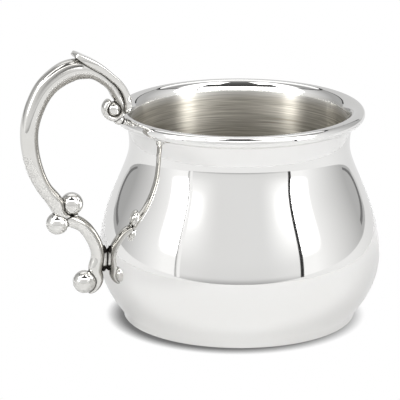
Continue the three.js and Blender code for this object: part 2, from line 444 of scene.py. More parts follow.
@dataclass(frozen=True)
class WhiteTable:
    """A painted white table top, which the photo has washed out to white but for the cup's soft shadow.

    Attributes:
        name: The material's name.
        paint: The share of the light falling on it that it sends back.
        lift: Light of its own, which brings the open table to white in reflections, on the handle's side
            and on the other.
        lift_places: Where across the table that light changes, in metres to the right of the cup.
        shadow_reach: How far from the cup the shadow reaches, in metres.
        shadow_range: The share of open sky at which the table looks darkest, and at which it looks white.
        darkest: The table's brightness under the cup's edge.
        light_side: The direction that most of the light comes from.
    """

    name: str = "white_table"
    paint: float = 0.6
    lift: Pair = (0.0, 0.08)
    lift_places: Pair = (-0.1, -0.035)
    shadow_reach: float = 0.006
    shadow_range: Pair = (0.24, 0.7)
    darkest: float = 0.17
    light_side: tuple[float, float, float] = (0.42, 0.2, 1.0)

    def material(self) -> bpy.types.Material:
        """Builds the material.

        Returns:
            The new material.
        """
        material = new_material(self.name)
        tree = material.node_tree
        paint = add_node(tree, "ShaderNodeBsdfDiffuse", {"Color": (self.paint, self.paint, self.paint, 1)})
        turn = math.radians(PHOTO_AZIMUTH)
        place = add_node(tree, "ShaderNodeTexCoord").outputs["Object"]
        across = add_node(
            tree,
            "ShaderNodeVectorMath",
            {0: place, 1: (math.cos(turn), math.sin(turn), 0)},
            operation="DOT_PRODUCT",
        )
        level = add_node(
            tree,
            "ShaderNodeMapRange",
            {
                "Value": across,
                "From Min": self.lift_places[0],
                "From Max": self.lift_places[1],
                "To Min": self.lift[0],
                "To Max": self.lift[1],
            },
            interpolation_type="SMOOTHSTEP",
        )
        lift = add_node(tree, "ShaderNodeEmission", {"Strength": level})
        lit = add_node(tree, "ShaderNodeAddShader", {0: paint, 1: lift})
        side = add_node(tree, "ShaderNodeVectorMath", {0: self.light_side}, operation="NORMALIZE")
        sky = add_node(
            tree,
            "ShaderNodeAmbientOcclusion",
            {"Distance": self.shadow_reach, "Normal": side},
            samples=32,
        ).outputs["AO"]
        shade = add_node(
            tree,
            "ShaderNodeMapRange",
            {
                "Value": sky,
                "From Min": self.shadow_range[0],
                "From Max": self.shadow_range[1],
                "To Min": self.darkest,
                "To Max": 1.0,
            },
        )
        seen = add_node(tree, "ShaderNodeEmission", {"Strength": shade})
        camera = add_node(tree, "ShaderNodeLightPath").outputs["Is Camera Ray"]
        both = add_node(tree, "ShaderNodeMixShader", {0: camera, 1: lit, 2: seen})
        add_node(tree, "ShaderNodeOutputMaterial", {"Surface": both})
        return material


# Curves


def cubic_curve(corners: tuple[Point, Point, Point, Point], steps: int) -> list[Point]:
    """Gives points along a cubic curve.

    Args:
        corners: The curve's start, its two handles and its end.
        steps: How many steps the curve is cut into.

    Returns:
        The points, the start and the end included.
    """
    start, leave, arrive, end = (np.array(corner) for corner in corners)
    points = []
    for t in np.linspace(0, 1, steps + 1):
        u = 1 - t
        points.append(tuple(u**3 * start + 3 * u * u * t * leave + 3 * u * t * t * arrive + t**3 * end))
    return points


def resampled(points: np.ndarray, spacing: float) -> np.ndarray:
    """Spreads points evenly along a line.

    Args:
        points: The line's corners, a row each. The first two columns are the place.
        spacing: The distance between the new points, about.

    Returns:
        The new points, the two ends included.
    """
    steps = np.hypot(*np.diff(points[:, :2], axis=0).T)
    reach = np.concatenate([[0], np.cumsum(steps)])
    count = max(2, round(reach[-1] / spacing) + 1)
    wanted = np.linspace(0, reach[-1], count)
    return np.stack([np.interp(wanted, reach, column) for column in points.T], axis=1)


def evened(points: list[Point], spacing: float) -> list[Point]:
    """Rounds off the small jumps in a line's curvature, so that it reflects without a kink.

    Args:
        points: The line.
        spacing: Over how many millimetres the line is evened out.

    Returns:
        A smoother line with the same two ends.
    """
    corners = resampled(np.array(points), spacing)
    corners = np.vstack([2 * corners[0] - corners[1], corners, 2 * corners[-1] - corners[-2]])
    smooth = []
    for i in range(len(corners) - 3):
        before, start, end, after = corners[i : i + 4]
        for t in np.arange(0, 1, 0.25):
            leave = 3 * t**3 - 6 * t**2 + 4
            arrive = 3 * t * (1 + t - t * t) + 1
            smooth.append(((1 - t) ** 3 * before + leave * start + arrive * end + t**3 * after) / 6)
    smooth.append((corners[-3] + 4 * corners[-2] + corners[-1]) / 6)
    return [tuple(point) for point in smooth]


def offset(points: list[Point], distance: float) -> list[Point]:
    """Moves each point of a rising line outwards, square to the line.

    Args:
        points: The line.
        distance: How far its points move. A negative distance moves them inwards.

    Returns:
        The moved line.
    """
    line = np.array(points)
    along = np.gradient(line, axis=0)
    along /= np.linalg.norm(along, axis=1)[:, None]
    moved = line + distance * np.stack([along[:, 1], -along[:, 0]], axis=1)
    return [tuple(point) for point in moved]


def natural_spline(rows: np.ndarray, spacing: float) -> np.ndarray:
    """Runs a curve of even curvature through rows of values.

    Args:
        rows: A place and sizes in each row. The first two columns are the place.
        spacing: The distance between the new rows.

    Returns:
        The rows along the curve.
    """
    steps = np.hypot(*np.diff(rows[:, :2], axis=0).T)
    knots = np.concatenate([[0], np.cumsum(steps)])
    count = len(rows)
    system = np.eye(count)
    right = np.zeros_like(rows)
    for i in range(1, count - 1):
        before, after = steps[i - 1], steps[i]
        system[i, i - 1 : i + 2] = before, 2 * (before + after), after
        right[i] = 6 * ((rows[i + 1] - rows[i]) / after - (rows[i] - rows[i - 1]) / before)
    bend = np.linalg.solve(system, right)
    wanted = np.linspace(0, knots[-1], round(knots[-1] / spacing) + 1)
    span = np.clip(np.searchsorted(knots, wanted, side="right") - 1, 0, count - 2)
    length = steps[span][:, None]
    into = (wanted - knots[span])[:, None]
    left = length - into
    return (
        bend[span] * left**3 / (6 * length)
        + bend[span + 1] * into**3 / (6 * length)
        + (rows[span] / length - bend[span] * length / 6) * left
        + (rows[span + 1] / length - bend[span + 1] * length / 6) * into
    )


# Geometry Nodes: both trees lay a grid over the rows of a guide line


class GridTree:
    """A Geometry Nodes tree that wraps a grid round a guide line, one row of the grid for each of its points.

    The guide line's points give the rows in order, and the grid's columns go once round.

    Attributes:
        sharp_angle: Edges that turn more than this stay sharp.
        weld: How near each other points are joined, in metres.
    """

    sharp_angle = math.radians(35)
    weld = 0.0002 * MM

    def __init__(self, name: str) -> None:
        """Starts the tree with the inputs that both kinds share, lays the grid and numbers its points.

        Args:
            name: The tree's name.
        """
        self.tree = bpy.data.node_groups.new(name, "GeometryNodeTree")
        sockets = self.tree.interface
        sockets.new_socket("Guide", in_out="INPUT", socket_type="NodeSocketGeometry")
        sockets.new_socket("Piece", in_out="OUTPUT", socket_type="NodeSocketGeometry")
        sockets.new_socket("Sides", in_out="INPUT", socket_type="NodeSocketInt")
        sockets.new_socket("Finish", in_out="INPUT", socket_type="NodeSocketMaterial")
        self.start = add_node(self.tree, "NodeGroupInput")
        guide, sides = self.start.outputs["Guide"], self.start.outputs["Sides"]
        size = add_node(self.tree, "GeometryNodeAttributeDomainSize", {"Geometry": guide}, component="MESH")
        rows = size.outputs["Point Count"]
        columns = add_node(self.tree, "ShaderNodeMath", {0: sides, 1: 1.0}, operation="ADD")
        self.grid = add_node(self.tree, "GeometryNodeMeshGrid", {"Vertices X": columns, "Vertices Y": rows})
        index = add_node(self.tree, "GeometryNodeInputIndex")
        whole = add_node(self.tree, "ShaderNodeMath", {0: index, 1: rows}, operation="DIVIDE")
        column = add_node(self.tree, "ShaderNodeMath", {0: whole}, operation="FLOOR")
        before = add_node(self.tree, "ShaderNodeMath", {0: column, 1: rows}, operation="MULTIPLY")
        self.row = add_node(self.tree, "ShaderNodeMath", {0: index, 1: before}, operation="SUBTRACT")
        share = add_node(self.tree, "ShaderNodeMath", {0: column, 1: sides}, operation="DIVIDE")
        once = add_node(self.tree, "ShaderNodeMath", {0: share}, operation="FRACT")
        self.angle = add_node(self.tree, "ShaderNodeMath", {0: once, 1: math.tau}, operation="MULTIPLY")
        self.cosine = add_node(self.tree, "ShaderNodeMath", {0: self.angle}, operation="COSINE")
        self.sine = add_node(self.tree, "ShaderNodeMath", {0: self.angle}, operation="SINE")

    def of_guide(self, value: bpy.types.Node, row: bpy.types.Node, kind: str) -> bpy.types.Node:
        """Reads one of the guide's values at a row. Past an end, it reads the end's."""
        inputs = {"Geometry": self.start.outputs["Guide"], "Value": value, "Index": row}
        return add_node(self.tree, "GeometryNodeSampleIndex", inputs, data_type=kind, clamp=True)

    def close(self, place: bpy.types.Node, marked: bpy.types.Node | None = None) -> None:
        """Puts the grid's points in place, joins its seam and poles, shades it and gives it its finish.

        Args:
            place: Each point's place.
            marked: The grid with its points' attributes, if it has any.
        """
        placed = add_node(
            self.tree,
            "GeometryNodeSetPosition",
            {"Geometry": marked or self.grid.outputs["Mesh"], "Position": place},
        )
        merged = add_node(
            self.tree, "GeometryNodeMergeByDistance", {"Geometry": placed, "Distance": self.weld}
        )
        smooth = add_node(self.tree, "GeometryNodeSetShadeSmooth", {"Geometry": merged, "Shade Smooth": True})
        edge = add_node(self.tree, "GeometryNodeInputMeshEdgeAngle").outputs["Unsigned Angle"]
        sharp = add_node(
            self.tree, "ShaderNodeMath", {0: edge, 1: self.sharp_angle}, operation="GREATER_THAN"
        )
        creased = add_node(
            self.tree,
            "GeometryNodeSetShadeSmooth",
            {"Geometry": smooth, "Selection": sharp, "Shade Smooth": False},
            domain="EDGE",
        )
        real = add_node(self.tree, "GeometryNodeRealizeInstances", {"Geometry": creased})
        dressed = add_node(
            self.tree, "GeometryNodeSetMaterial", {"Geometry": real, "Material": self.start.outputs["Finish"]}
        )
        add_node(self.tree, "NodeGroupOutput", {"Piece": dressed})

    def piece(self, name: str, guide: bpy.types.Mesh, values: dict[str, object]) -> bpy.types.Object:
        """Runs the tree on a guide line and keeps the result as a plain mesh.

        Args:
            name: The new piece's name.
            guide: The guide line.
            values: A value for each of the tree's named inputs.

        Returns:
            The piece's object, with its place in its mesh.
        """
        maker = bpy.data.objects.new(name + "_guide", guide)
        bpy.context.scene.collection.objects.link(maker)
        modifier = maker.modifiers.new("make", "NODES")
        modifier.node_group = self.tree
        for item in self.tree.interface.items_tree:
            if item.in_out == "INPUT" and item.name in values:
                modifier[item.identifier] = values[item.name]
        seen = maker.evaluated_get(bpy.context.evaluated_depsgraph_get())
        mesh = bpy.data.meshes.new_from_object(seen)
        mesh.name = name
        # The new mesh has an empty first slot, which the finish takes over
        mesh.materials.clear()
        mesh.materials.append(values["Finish"])
        mesh.polygons.foreach_set("material_index", np.zeros(len(mesh.polygons), np.int32))
        bpy.data.objects.remove(maker)
        piece = bpy.data.objects.new(name, mesh)
        bpy.context.scene.collection.objects.link(piece)
        return piece


class TurnedTree(GridTree):
    """Turns a profile of radius (X) and height (Z) about the cup's axis."""

    def __init__(self) -> None:
        """Builds the tree."""
        super().__init__("turned_piece")
        position = add_node(self.tree, "GeometryNodeInputPosition")
        here = self.of_guide(position, self.row, "FLOAT_VECTOR")
        profile = add_node(self.tree, "ShaderNodeSeparateXYZ", {"Vector": here}).outputs
        radius, height = profile["X"], profile["Z"]
        across = add_node(self.tree, "ShaderNodeMath", {0: radius, 1: self.cosine}, operation="MULTIPLY")
        deep = add_node(self.tree, "ShaderNodeMath", {0: radius, 1: self.sine}, operation="MULTIPLY")
        self.close(add_node(self.tree, "ShaderNodeCombineXYZ", {"X": across, "Y": deep, "Z": height}))

    def turn(
        self, name: str, profile: list[Point], sides: int, finish: bpy.types.Material
    ) -> bpy.types.Object:
        """Turns a profile.

        Args:
            name: The piece's name.
            profile: Points of radius and height in millimetres. The metal is on the left of the way along.
            sides: How many sides the turned piece has.
            finish: Its material.

        Returns:
            The turned piece.
        """
        guide = bpy.data.meshes.new(name + "_profile")
        guide.from_pydata([(r * MM, 0, z * MM) for r, z in profile], [], [])
        return self.piece(name, guide, {"Sides": sides, "Finish": finish})


@dataclass
class Limb:
    """A limb of the handle, ready to be swept.

    With the values that are given here, the scored lines would lie before its start, so it has none.

    Attributes:
        name: Its piece's name.
        line: A row for each ring: x, z, thickness and width in millimetres.
        sides: How many sides its section has.
        squareness: 2 for a round section, and more for flatter faces.
        skin: How much rough cast finish is left on the side facing the cup; its grey paints shade.
        scored: Between which distances along it the scored lines run and fade, in millimetres.
        score_depth: Their depth in millimetres.
        score_angle: How many degrees round the section they lie, from the middle of its outer face.
        score_shade: How dark they are painted, as shade in the groove, where 1 is black.
        facet: How much rough cast finish each facet beside them gets; its grey is a painted dark reflection.
    """

    name: str
    line: np.ndarray
    sides: int
    squareness: float = 2.0
    skin: float = 1.0
    scored: Pair = (-2.0, -1.0)
    score_depth: float = 0.0
    score_angle: float = 68.0
    score_shade: float = 1.0
    facet: float = 0.0


class LimbTree(GridTree):
    """Sweeps a section along a guide line in the handle's plane.

    The guide's points carry the section's half thickness in that plane and its half width across it, how far
    along the limb they are, how deep the two scored lines on its outer face are there and how dark they are
    painted, and how grey the facet beside each of them is painted. The squareness is 2 for a round section,
    and more for one with flatter faces. The piece gets three attributes that its finish reads: "skin" on
    the side that faces the cup, a rougher cast finish whose grey also paints shade, and on the facets, where
    that grey is a painted dark reflection; "crease" in the scored lines, which paints shade into them; and
    "grain", which is how far along and round the limb a point is.

    Places round the section are cosines: 0 at the middle of a side, and 1 at the middle of the inner or
    outer face.

    Attributes:
        score_width: The power that makes a scored line narrow.
        score_start: Over how many millimetres a scored line sets in.
        deepest_score: The deepest a scored line may be, as a share of the limb's thickness.
        skin_and_shade_edge: Where towards the inner face the rough cast finish and its painted shade set in.
        light_edge: Between which places they thin out again.
        skin_and_shade_middle: The share of them that is left on the middle of the inner face.
        facet_side: Between which places towards the outer face a facet sets in.
        facet_middle: Between which places it ends.
    """

    score_width = 100.0
    score_start = 0.5
    deepest_score = 0.05
    skin_and_shade_edge = (0.18, 0.32)
    light_edge = (0.9, 0.985)
    skin_and_shade_middle = 0.3
    facet_side = (0.42, 0.6)
    facet_middle = (0.88, 0.97)

    def __init__(self) -> None:
        """Builds the tree."""
        super().__init__("swept_limb")
        tree = self.tree
        for name in ("Squareness", "Skin", "Score Angle"):
            tree.interface.new_socket(name, in_out="INPUT", socket_type="NodeSocketFloat")
        position = add_node(tree, "GeometryNodeInputPosition")
        here = self.of_guide(position, self.row, "FLOAT_VECTOR")
        after = add_node(tree, "ShaderNodeMath", {0: self.row, 1: 1.0}, operation="ADD")
        before = add_node(tree, "ShaderNodeMath", {0: self.row, 1: 1.0}, operation="SUBTRACT")
        ahead = self.of_guide(position, after, "FLOAT_VECTOR")
        behind = self.of_guide(position, before, "FLOAT_VECTOR")
        step = add_node(tree, "ShaderNodeVectorMath", {0: ahead, 1: behind}, operation="SUBTRACT")
        along = add_node(tree, "ShaderNodeVectorMath", {0: step}, operation="NORMALIZE")
        outwards = add_node(
            tree, "ShaderNodeVectorMath", {0: (0.0, 1.0, 0.0), 1: along}, operation="CROSS_PRODUCT"
        )
        score = self.score()
        depth = add_node(
            tree, "ShaderNodeMath", {0: score, 1: self.size("score_depth")}, operation="MULTIPLY"
        )
        thick = self.side(self.cosine, "half_thick", depth)
        wide = self.side(self.sine, "half_wide", depth)
        out = add_node(tree, "ShaderNodeVectorMath", {0: outwards, "Scale": thick}, operation="SCALE")
        across = add_node(tree, "ShaderNodeCombineXYZ", {"Y": wide})
        off = add_node(tree, "ShaderNodeVectorMath", {0: out, 1: across}, operation="ADD")
        self.close(
            add_node(tree, "ShaderNodeVectorMath", {0: here, 1: off}, operation="ADD"),
            self.marked(score),
        )

    def size(self, name: str) -> bpy.types.Node:
        """Reads one of the guide's named sizes at the grid's row."""
        value = add_node(self.tree, "GeometryNodeInputNamedAttribute", {"Name": name}, data_type="FLOAT")
        return self.of_guide(value, self.row, "FLOAT")

    def score(self) -> bpy.types.Node:
        """Marks the two scored lines, which lie at the same angle on both sides of the outer face.

        Returns:
            The node that gives 1 on them and 0 elsewhere.
        """
        angle = self.start.outputs["Score Angle"]
        turn = add_node(self.tree, "ShaderNodeMath", {0: self.cosine}, operation="ARCCOSINE")
        off = add_node(self.tree, "ShaderNodeMath", {0: turn, 1: angle}, operation="SUBTRACT")
        near = add_node(self.tree, "ShaderNodeMath", {0: off}, operation="COSINE")
        front = add_node(self.tree, "ShaderNodeMath", {0: near, 1: 0.0}, operation="MAXIMUM")
        return add_node(self.tree, "ShaderNodeMath", {0: front, 1: self.score_width}, operation="POWER")

    def side(self, wave: bpy.types.Node, name: str, depth: bpy.types.Node) -> bpy.types.Node:
        """Gives one side of the squared section, a little less where it is scored.

        Args:
            wave: The cosine or sine of the angle round the limb.
            name: The name of the side's half size.
            depth: How deep the section is scored.

        Returns:
            How far from the guide line the side is.
        """
        power = add_node(
            self.tree, "ShaderNodeMath", {0: 2.0, 1: self.start.outputs["Squareness"]}, operation="DIVIDE"
        )
        size = add_node(self.tree, "ShaderNodeMath", {0: wave}, operation="ABSOLUTE")
        raised = add_node(self.tree, "ShaderNodeMath", {0: size, 1: power}, operation="POWER")
        sign = add_node(self.tree, "ShaderNodeMath", {0: wave}, operation="SIGN")
        signed = add_node(self.tree, "ShaderNodeMath", {0: sign, 1: raised}, operation="MULTIPLY")
        less = add_node(self.tree, "ShaderNodeMath", {0: self.size(name), 1: depth}, operation="SUBTRACT")
        return add_node(self.tree, "ShaderNodeMath", {0: signed, 1: less}, operation="MULTIPLY")

    def marked(self, score: bpy.types.Node) -> bpy.types.Node:
        """Gives the grid's points what the finish reads: skin, crease and grain.

        Args:
            score: 1 on the scored lines.

        Returns:
            The node that gives the marked grid.
        """
        tree = self.tree
        # The side facing the cup gets the rough cast finish, whose grey also paints shade there
        inner = add_node(tree, "ShaderNodeMath", {0: self.cosine, 1: -1.0}, operation="MULTIPLY")
        low, high = self.skin_and_shade_edge
        dull = add_node(
            tree,
            "ShaderNodeMapRange",
            {"Value": inner, "From Min": low, "From Max": high, "To Max": self.start.outputs["Skin"]},
            interpolation_type="SMOOTHSTEP",
        )
        low, high = self.light_edge
        buffed = add_node(
            tree,
            "ShaderNodeMapRange",
            {"Value": inner, "From Min": low, "From Max": high, "To Min": 1.0, "To Max": self.skin_and_shade_middle},
            interpolation_type="SMOOTHSTEP",
        )
        cast = add_node(tree, "ShaderNodeMath", {0: dull, 1: buffed}, operation="MULTIPLY")
        # The facets beside the scored lines get that grey too, as a painted dark reflection
        facet = self.size("facet")
        for (low, high), (least, most) in ((self.facet_side, (0.0, 1.0)), (self.facet_middle, (1.0, 0.0))):
            edge = add_node(
                tree,
                "ShaderNodeMapRange",
                {"Value": self.cosine, "From Min": low, "From Max": high, "To Min": least, "To Max": most},
                interpolation_type="SMOOTHSTEP",
            )
            facet = add_node(tree, "ShaderNodeMath", {0: facet, 1: edge}, operation="MULTIPLY")
        skin = add_node(tree, "ShaderNodeMath", {0: cast, 1: facet}, operation="MAXIMUM")
        # The scored lines are painted dark, as shade in their grooves
        crease = add_node(
            tree, "ShaderNodeMath", {0: score, 1: self.size("score_share")}, operation="MULTIPLY"
        )
        round_way = add_node(
            tree, "ShaderNodeMath", {0: self.angle, 1: self.size("half_thick")}, operation="MULTIPLY"
        )
        grain = add_node(tree, "ShaderNodeCombineXYZ", {"X": self.size("reach"), "Y": round_way})
        geometry = self.grid.outputs["Mesh"]
        for name, kind, value in (
            ("skin", "FLOAT", skin),
            ("crease", "FLOAT", crease),
            ("grain", "FLOAT_VECTOR", grain),
        ):
            geometry = add_node(
                tree,
                "GeometryNodeStoreNamedAttribute",
                {"Geometry": geometry, "Name": name, "Value": value},
                data_type=kind,
                domain="POINT",
            )
        return geometry

    def sweep(self, limb: Limb, finish: bpy.types.Material) -> bpy.types.Object:
        """Sweeps a limb.

        Args:
            limb: The limb.
            finish: Its material.

        Returns:
            The swept piece.
        """
        line = limb.line
        steps = np.hypot(*np.diff(line[:, :2], axis=0).T)
        reach = np.concatenate([[0], np.cumsum(steps)])
        begin, end = limb.scored
        first = begin - self.score_start
        share = np.array([eased(at, first, begin) * (1 - eased(at, begin, end)) for at in reach])
        depth = np.minimum(share * limb.score_depth, self.deepest_score * line[:, 2])
        guide = bpy.data.meshes.new(limb.name + "_line")
        guide.from_pydata([(x * MM, 0, z * MM) for x, z in line[:, :2]], [], [])
        for key, values in (
            ("half_thick", line[:, 2] / 2 * MM),
            ("half_wide", line[:, 3] / 2 * MM),
            ("reach", reach * MM),
            ("score_depth", depth * MM),
            ("score_share", share * limb.score_shade),
            ("facet", share * limb.facet),
        ):
            guide.attributes.new(key, "FLOAT", "POINT").data.foreach_set("value", values.astype(np.float32))
        values = {
            "Sides": limb.sides,
            "Finish": finish,
            "Squareness": limb.squareness,
            "Skin": limb.skin,
            "Score Angle": math.radians(limb.score_angle),
        }
        return self.piece(limb.name, guide, values)


def settle(piece: bpy.types.Object, slot: Slot, *nodes: str) -> bpy.types.Object:
    """Ties a finished piece to the frame.

    Args:
        piece: The finished piece.
        slot: Not used.
        *nodes: The CAD nodes that it stands for.

    Returns:
        The piece.
    """
    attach(piece, Body.ROOT.value)
    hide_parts(*nodes)
    return piece


# The turned cup


@dataclass
class TurnedCup:
    """The spun body, its base and the bead round its rim. Sizes are in millimetres.

    Attributes:
        mirror: The polished finish.
        satin: The brushed finish of the inside.
        wall: The spun wall's thickness.
        belly_height: Where the belly is widest.
        belly_fullness: How far the belly's curve stays steep below its widest place.
        shoulder_fullness: The same above it.
        foot_angle: How steeply the wall leaves the base, in degrees.
        neck_radius: The neck's radius.
        neck_depth: How far the neck lies below the rim's crest.
        neck_tightness: How far the neck's curve stays steep below the neck.
        lip_flare: How far the lip flares out over the neck.
        lip_flare_height: How far up the flare starts.
        lip_radius: The radius that the handle is set out from.
        foot_inset: How far the foot of the wall stands in from the frame's base.
        foot_round: The radius of the foot's rounded edge.
        foot_middle: The radius at which the middle of that edge lies.
        foot_height: How high the foot is upright.
        foot_blend: How far the curve from there to the wall keeps to the foot's line, and to the wall's.
        base_thickness: The base's thickness inside.
        base_cove: How wide the cove inside the wall's foot is.
        throat_gap: How far below the neck the wall's inner face leaves the outer one.
        seat_margin: How far the bead's flat seat reaches out beyond the wall.
        bead_middle: The radius and height of the bead's middle.
        bead_size: The bead's half width, and its half height above and below its middle.
        roll_fullness: How far the roll into the mouth stays level, as a share of the bead's half width.
        roll_end: How far out and up from its lower edge that roll still bends.
        roll_width: How far out from the mouth the roll's brushed part reaches.
        mouth_radius: The radius of the bead's inner edge.
        brushed_to: The height at which the brushed finish ends inside the bead.
        sides: How many sides the turned pieces have.
        tree: The tree that turns them.
    """

    mirror: bpy.types.Material
    satin: bpy.types.Material
    wall: float = 1.2
    belly_height: float = 16.8
    belly_fullness: float = 5.2
    shoulder_fullness: float = 13.9
    foot_angle: float = 49.5
    neck_radius: float = 29.2
    neck_depth: float = 10.0
    neck_tightness: float = 6.5
    lip_flare: float = 1.3
    lip_flare_height: float = 3.2
    lip_radius: float = 31.9
    foot_inset: float = 0.5
    foot_round: float = 0.5
    foot_middle: float = 30.45
    foot_height: float = 0.7
    foot_blend: Pair = (0.6, 0.8)
    base_thickness: float = 1.4
    base_cove: float = 3.0
    throat_gap: float = 0.2
    seat_margin: float = 0.02
    bead_middle: Point = (31.4, 55.25)
    bead_size: tuple[float, float, float] = (1.73, 1.6, 1.65)
    roll_fullness: float = 0.92
    roll_end: Point = (0.19, 0.57)
    roll_width: float = 1.0
    mouth_radius: float = 28.7
    brushed_to: float = 55.0
    sides: int = 220
    tree: TurnedTree = field(default_factory=TurnedTree)

    def __post_init__(self) -> None:
        """Reads the sizes that the frame gives."""
        self.belly_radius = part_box("cup_body")[1].x / MM
        self.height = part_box("rim_wire")[1].z / MM
        self.seat_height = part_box("rim_wire")[0].z / MM
        self.base_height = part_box("base")[1].z / MM
        self.base_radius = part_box("base")[1].x / MM - self.foot_inset
        slope = math.radians(self.foot_angle)
        self.foot_slope = np.array([math.cos(slope), math.sin(slope)])

    def outside(self) -> list[Point]:
        """Draws the wall's outer face: the belly, the shoulder up to the neck, and the lip's flare.

        Returns:
            Points of radius and height, from the base up to the bead's seat.
        """
        foot = np.array([self.base_radius, self.base_height])
        belly = (self.belly_radius, self.belly_height)
        neck = (self.neck_radius, self.height - self.neck_depth)
        seat = (self.neck_radius + self.lip_flare, self.seat_height)
        lean = foot + self.belly_fullness * self.foot_slope
        lower = cubic_curve((foot, lean, (belly[0], belly[1] - self.belly_fullness), belly), steps=24)
        shoulder = cubic_curve(
            (
                belly,
                (belly[0], belly[1] + self.shoulder_fullness),
                (neck[0], neck[1] - self.neck_tightness),
                neck,
            ),
            steps=48,
        )
        flare = cubic_curve(
            (
                neck,
                (neck[0], neck[1] + self.lip_flare_height),
                (seat[0] - self.lip_flare / 2, seat[1] - self.lip_flare),
                seat,
            ),
            steps=16,
        )
        return evened(lower + shoulder[1:] + flare[1:], spacing=1.0)

    def inside(self) -> list[Point]:
        """Draws the wall's inner face: a wall's thickness from the outer one up to the neck, then upright.

        Returns:
            Points of radius and height, from the base up to the mouth's edge.
        """
        neck_height = self.height - self.neck_depth
        top = neck_height - self.throat_gap
        face = [point for point in offset(self.outside(), -self.wall) if point[1] < top]
        face[0] = (face[0][0], self.base_height)
        throat = (self.neck_radius - self.wall, neck_height)
        seat = (self.mouth_radius, self.seat_height)
        rise = (seat[1] - throat[1]) / 3
        lean = (seat[0] - throat[0]) / 3
        between = ((throat[0], throat[1] + rise), (seat[0] - lean, seat[1] - rise))
        return face + cubic_curve((throat, *between, seat), steps=16)

    def body(self) -> bpy.types.Object:
        """Turns the wall and brushes its inside.

        Returns:
            The spun body.
        """
        outer, inner = self.outside(), self.inside()
        piece = self.tree.turn("spun_body", outer + inner[::-1] + outer[:1], self.sides, self.mirror)
        piece.data.materials.append(self.satin)
        outer_radius, outer_height = zip(*outer)
        inner_radius, inner_height = zip(*inner)
        for face in piece.data.polygons:
            height = face.center.z / MM
            far = np.interp(height, outer_height, outer_radius)
            near = np.interp(height, inner_height, inner_radius)
            if math.hypot(face.center.x, face.center.y) / MM < (far + near) / 2:
                face.material_index = 1
        return settle(piece, Slot.SATIN, "cup_body")

    def base(self) -> bpy.types.Object:
        """Turns the base: a rounded, upright foot that runs smoothly into the wall, and a cove inside.

        Returns:
            The base.
        """
        top = np.array([self.base_radius, self.base_height])
        edge = [
            (
                self.foot_middle + self.foot_round * math.cos(turn),
                self.foot_round + self.foot_round * math.sin(turn),
            )
            for turn in np.linspace(-math.pi / 2, 0, 9)
        ]
        upright = np.array([self.foot_middle + self.foot_round, self.foot_height])
        rise, lean = self.foot_blend
        hollow = cubic_curve((upright, upright + (0, rise), top - lean * self.foot_slope, top), steps=16)
        wall_foot = np.array([self.inside()[0][0], self.base_height])
        cove = cubic_curve(
            (
                wall_foot,
                wall_foot - self.foot_slope,
                (wall_foot[0] - self.base_cove / 2, self.base_thickness),
                (wall_foot[0] - self.base_cove, self.base_thickness),
            ),
            steps=12,
        )
        profile = [(0.0, 0.0), *edge, *hollow, *cove, (0.0, self.base_thickness)]
        piece = self.tree.turn("turned_base", profile, self.sides, self.mirror)
        piece.data.materials.append(self.satin)
        for face in piece.data.polygons:
            inside = math.hypot(face.center.x, face.center.y) < wall_foot[0] * MM
            faces_up = face.normal.z > 0.2
            if inside and faces_up:
                face.material_index = 1
        return settle(piece, Slot.POLISHED, "base")

    def bead(self) -> bpy.types.Object:
        """Turns the bead: round outside, and rolled down into the mouth, where it is brushed as the wall is.

        Returns:
            The bead.
        """
        radius, height = self.bead_middle
        wide, above, below = self.bead_size
        wall_top = self.neck_radius + self.lip_flare + self.seat_margin
        under = math.degrees(math.acos((wall_top - radius) / wide))
        profile = [(self.mouth_radius, self.seat_height), (wall_top, self.seat_height)]
        for turn in np.radians(np.linspace(-under, 90, 52)):
            level = math.sin(turn)
            profile.append((radius + wide * math.cos(turn), height + level * (above if level > 0 else below)))
        crest = (radius, height + above)
        roll = (crest[0] - wide * self.roll_fullness, crest[1])
        roll_end = (self.mouth_radius + self.roll_end[0], self.seat_height + self.roll_end[1])
        profile += cubic_curve((crest, roll, roll_end, profile[0]), steps=28)[1:]
        piece = self.tree.turn("rim_bead", profile, self.sides, self.mirror)
        piece.data.materials.append(self.satin)
        for face in piece.data.polygons:
            away = math.hypot(face.center.x, face.center.y)
            rolled = away < (self.mouth_radius + self.roll_width) * MM
            if rolled and face.center.z < self.brushed_to * MM:
                face.material_index = 1
        return settle(piece, Slot.POLISHED, "rim_wire")


# The handle


@dataclass(frozen=True)
class Size:
    """A limb's thickness in the handle's plane and its width across it, in millimetres."""

    thick: float
    wide: float

    def towards(self, other: "Size", share: float) -> "Size":
        """Gives the size at a share of the way to another."""
        return Size(
            self.thick + (other.thick - self.thick) * share,
            self.wide + (other.wide - self.wide) * share,
        )


@dataclass(frozen=True)
class Ball:
    """A ball end in the handle's plane.

    Attributes:
        name: Its piece's name.
        node: The CAD node that it stands for.
        out: How far its middle lies from the cup's axis, in millimetres.
        up: How high it lies.
        radius: Its radius.
    """

    name: str
    node: str
    out: float
    up: float
    radius: float


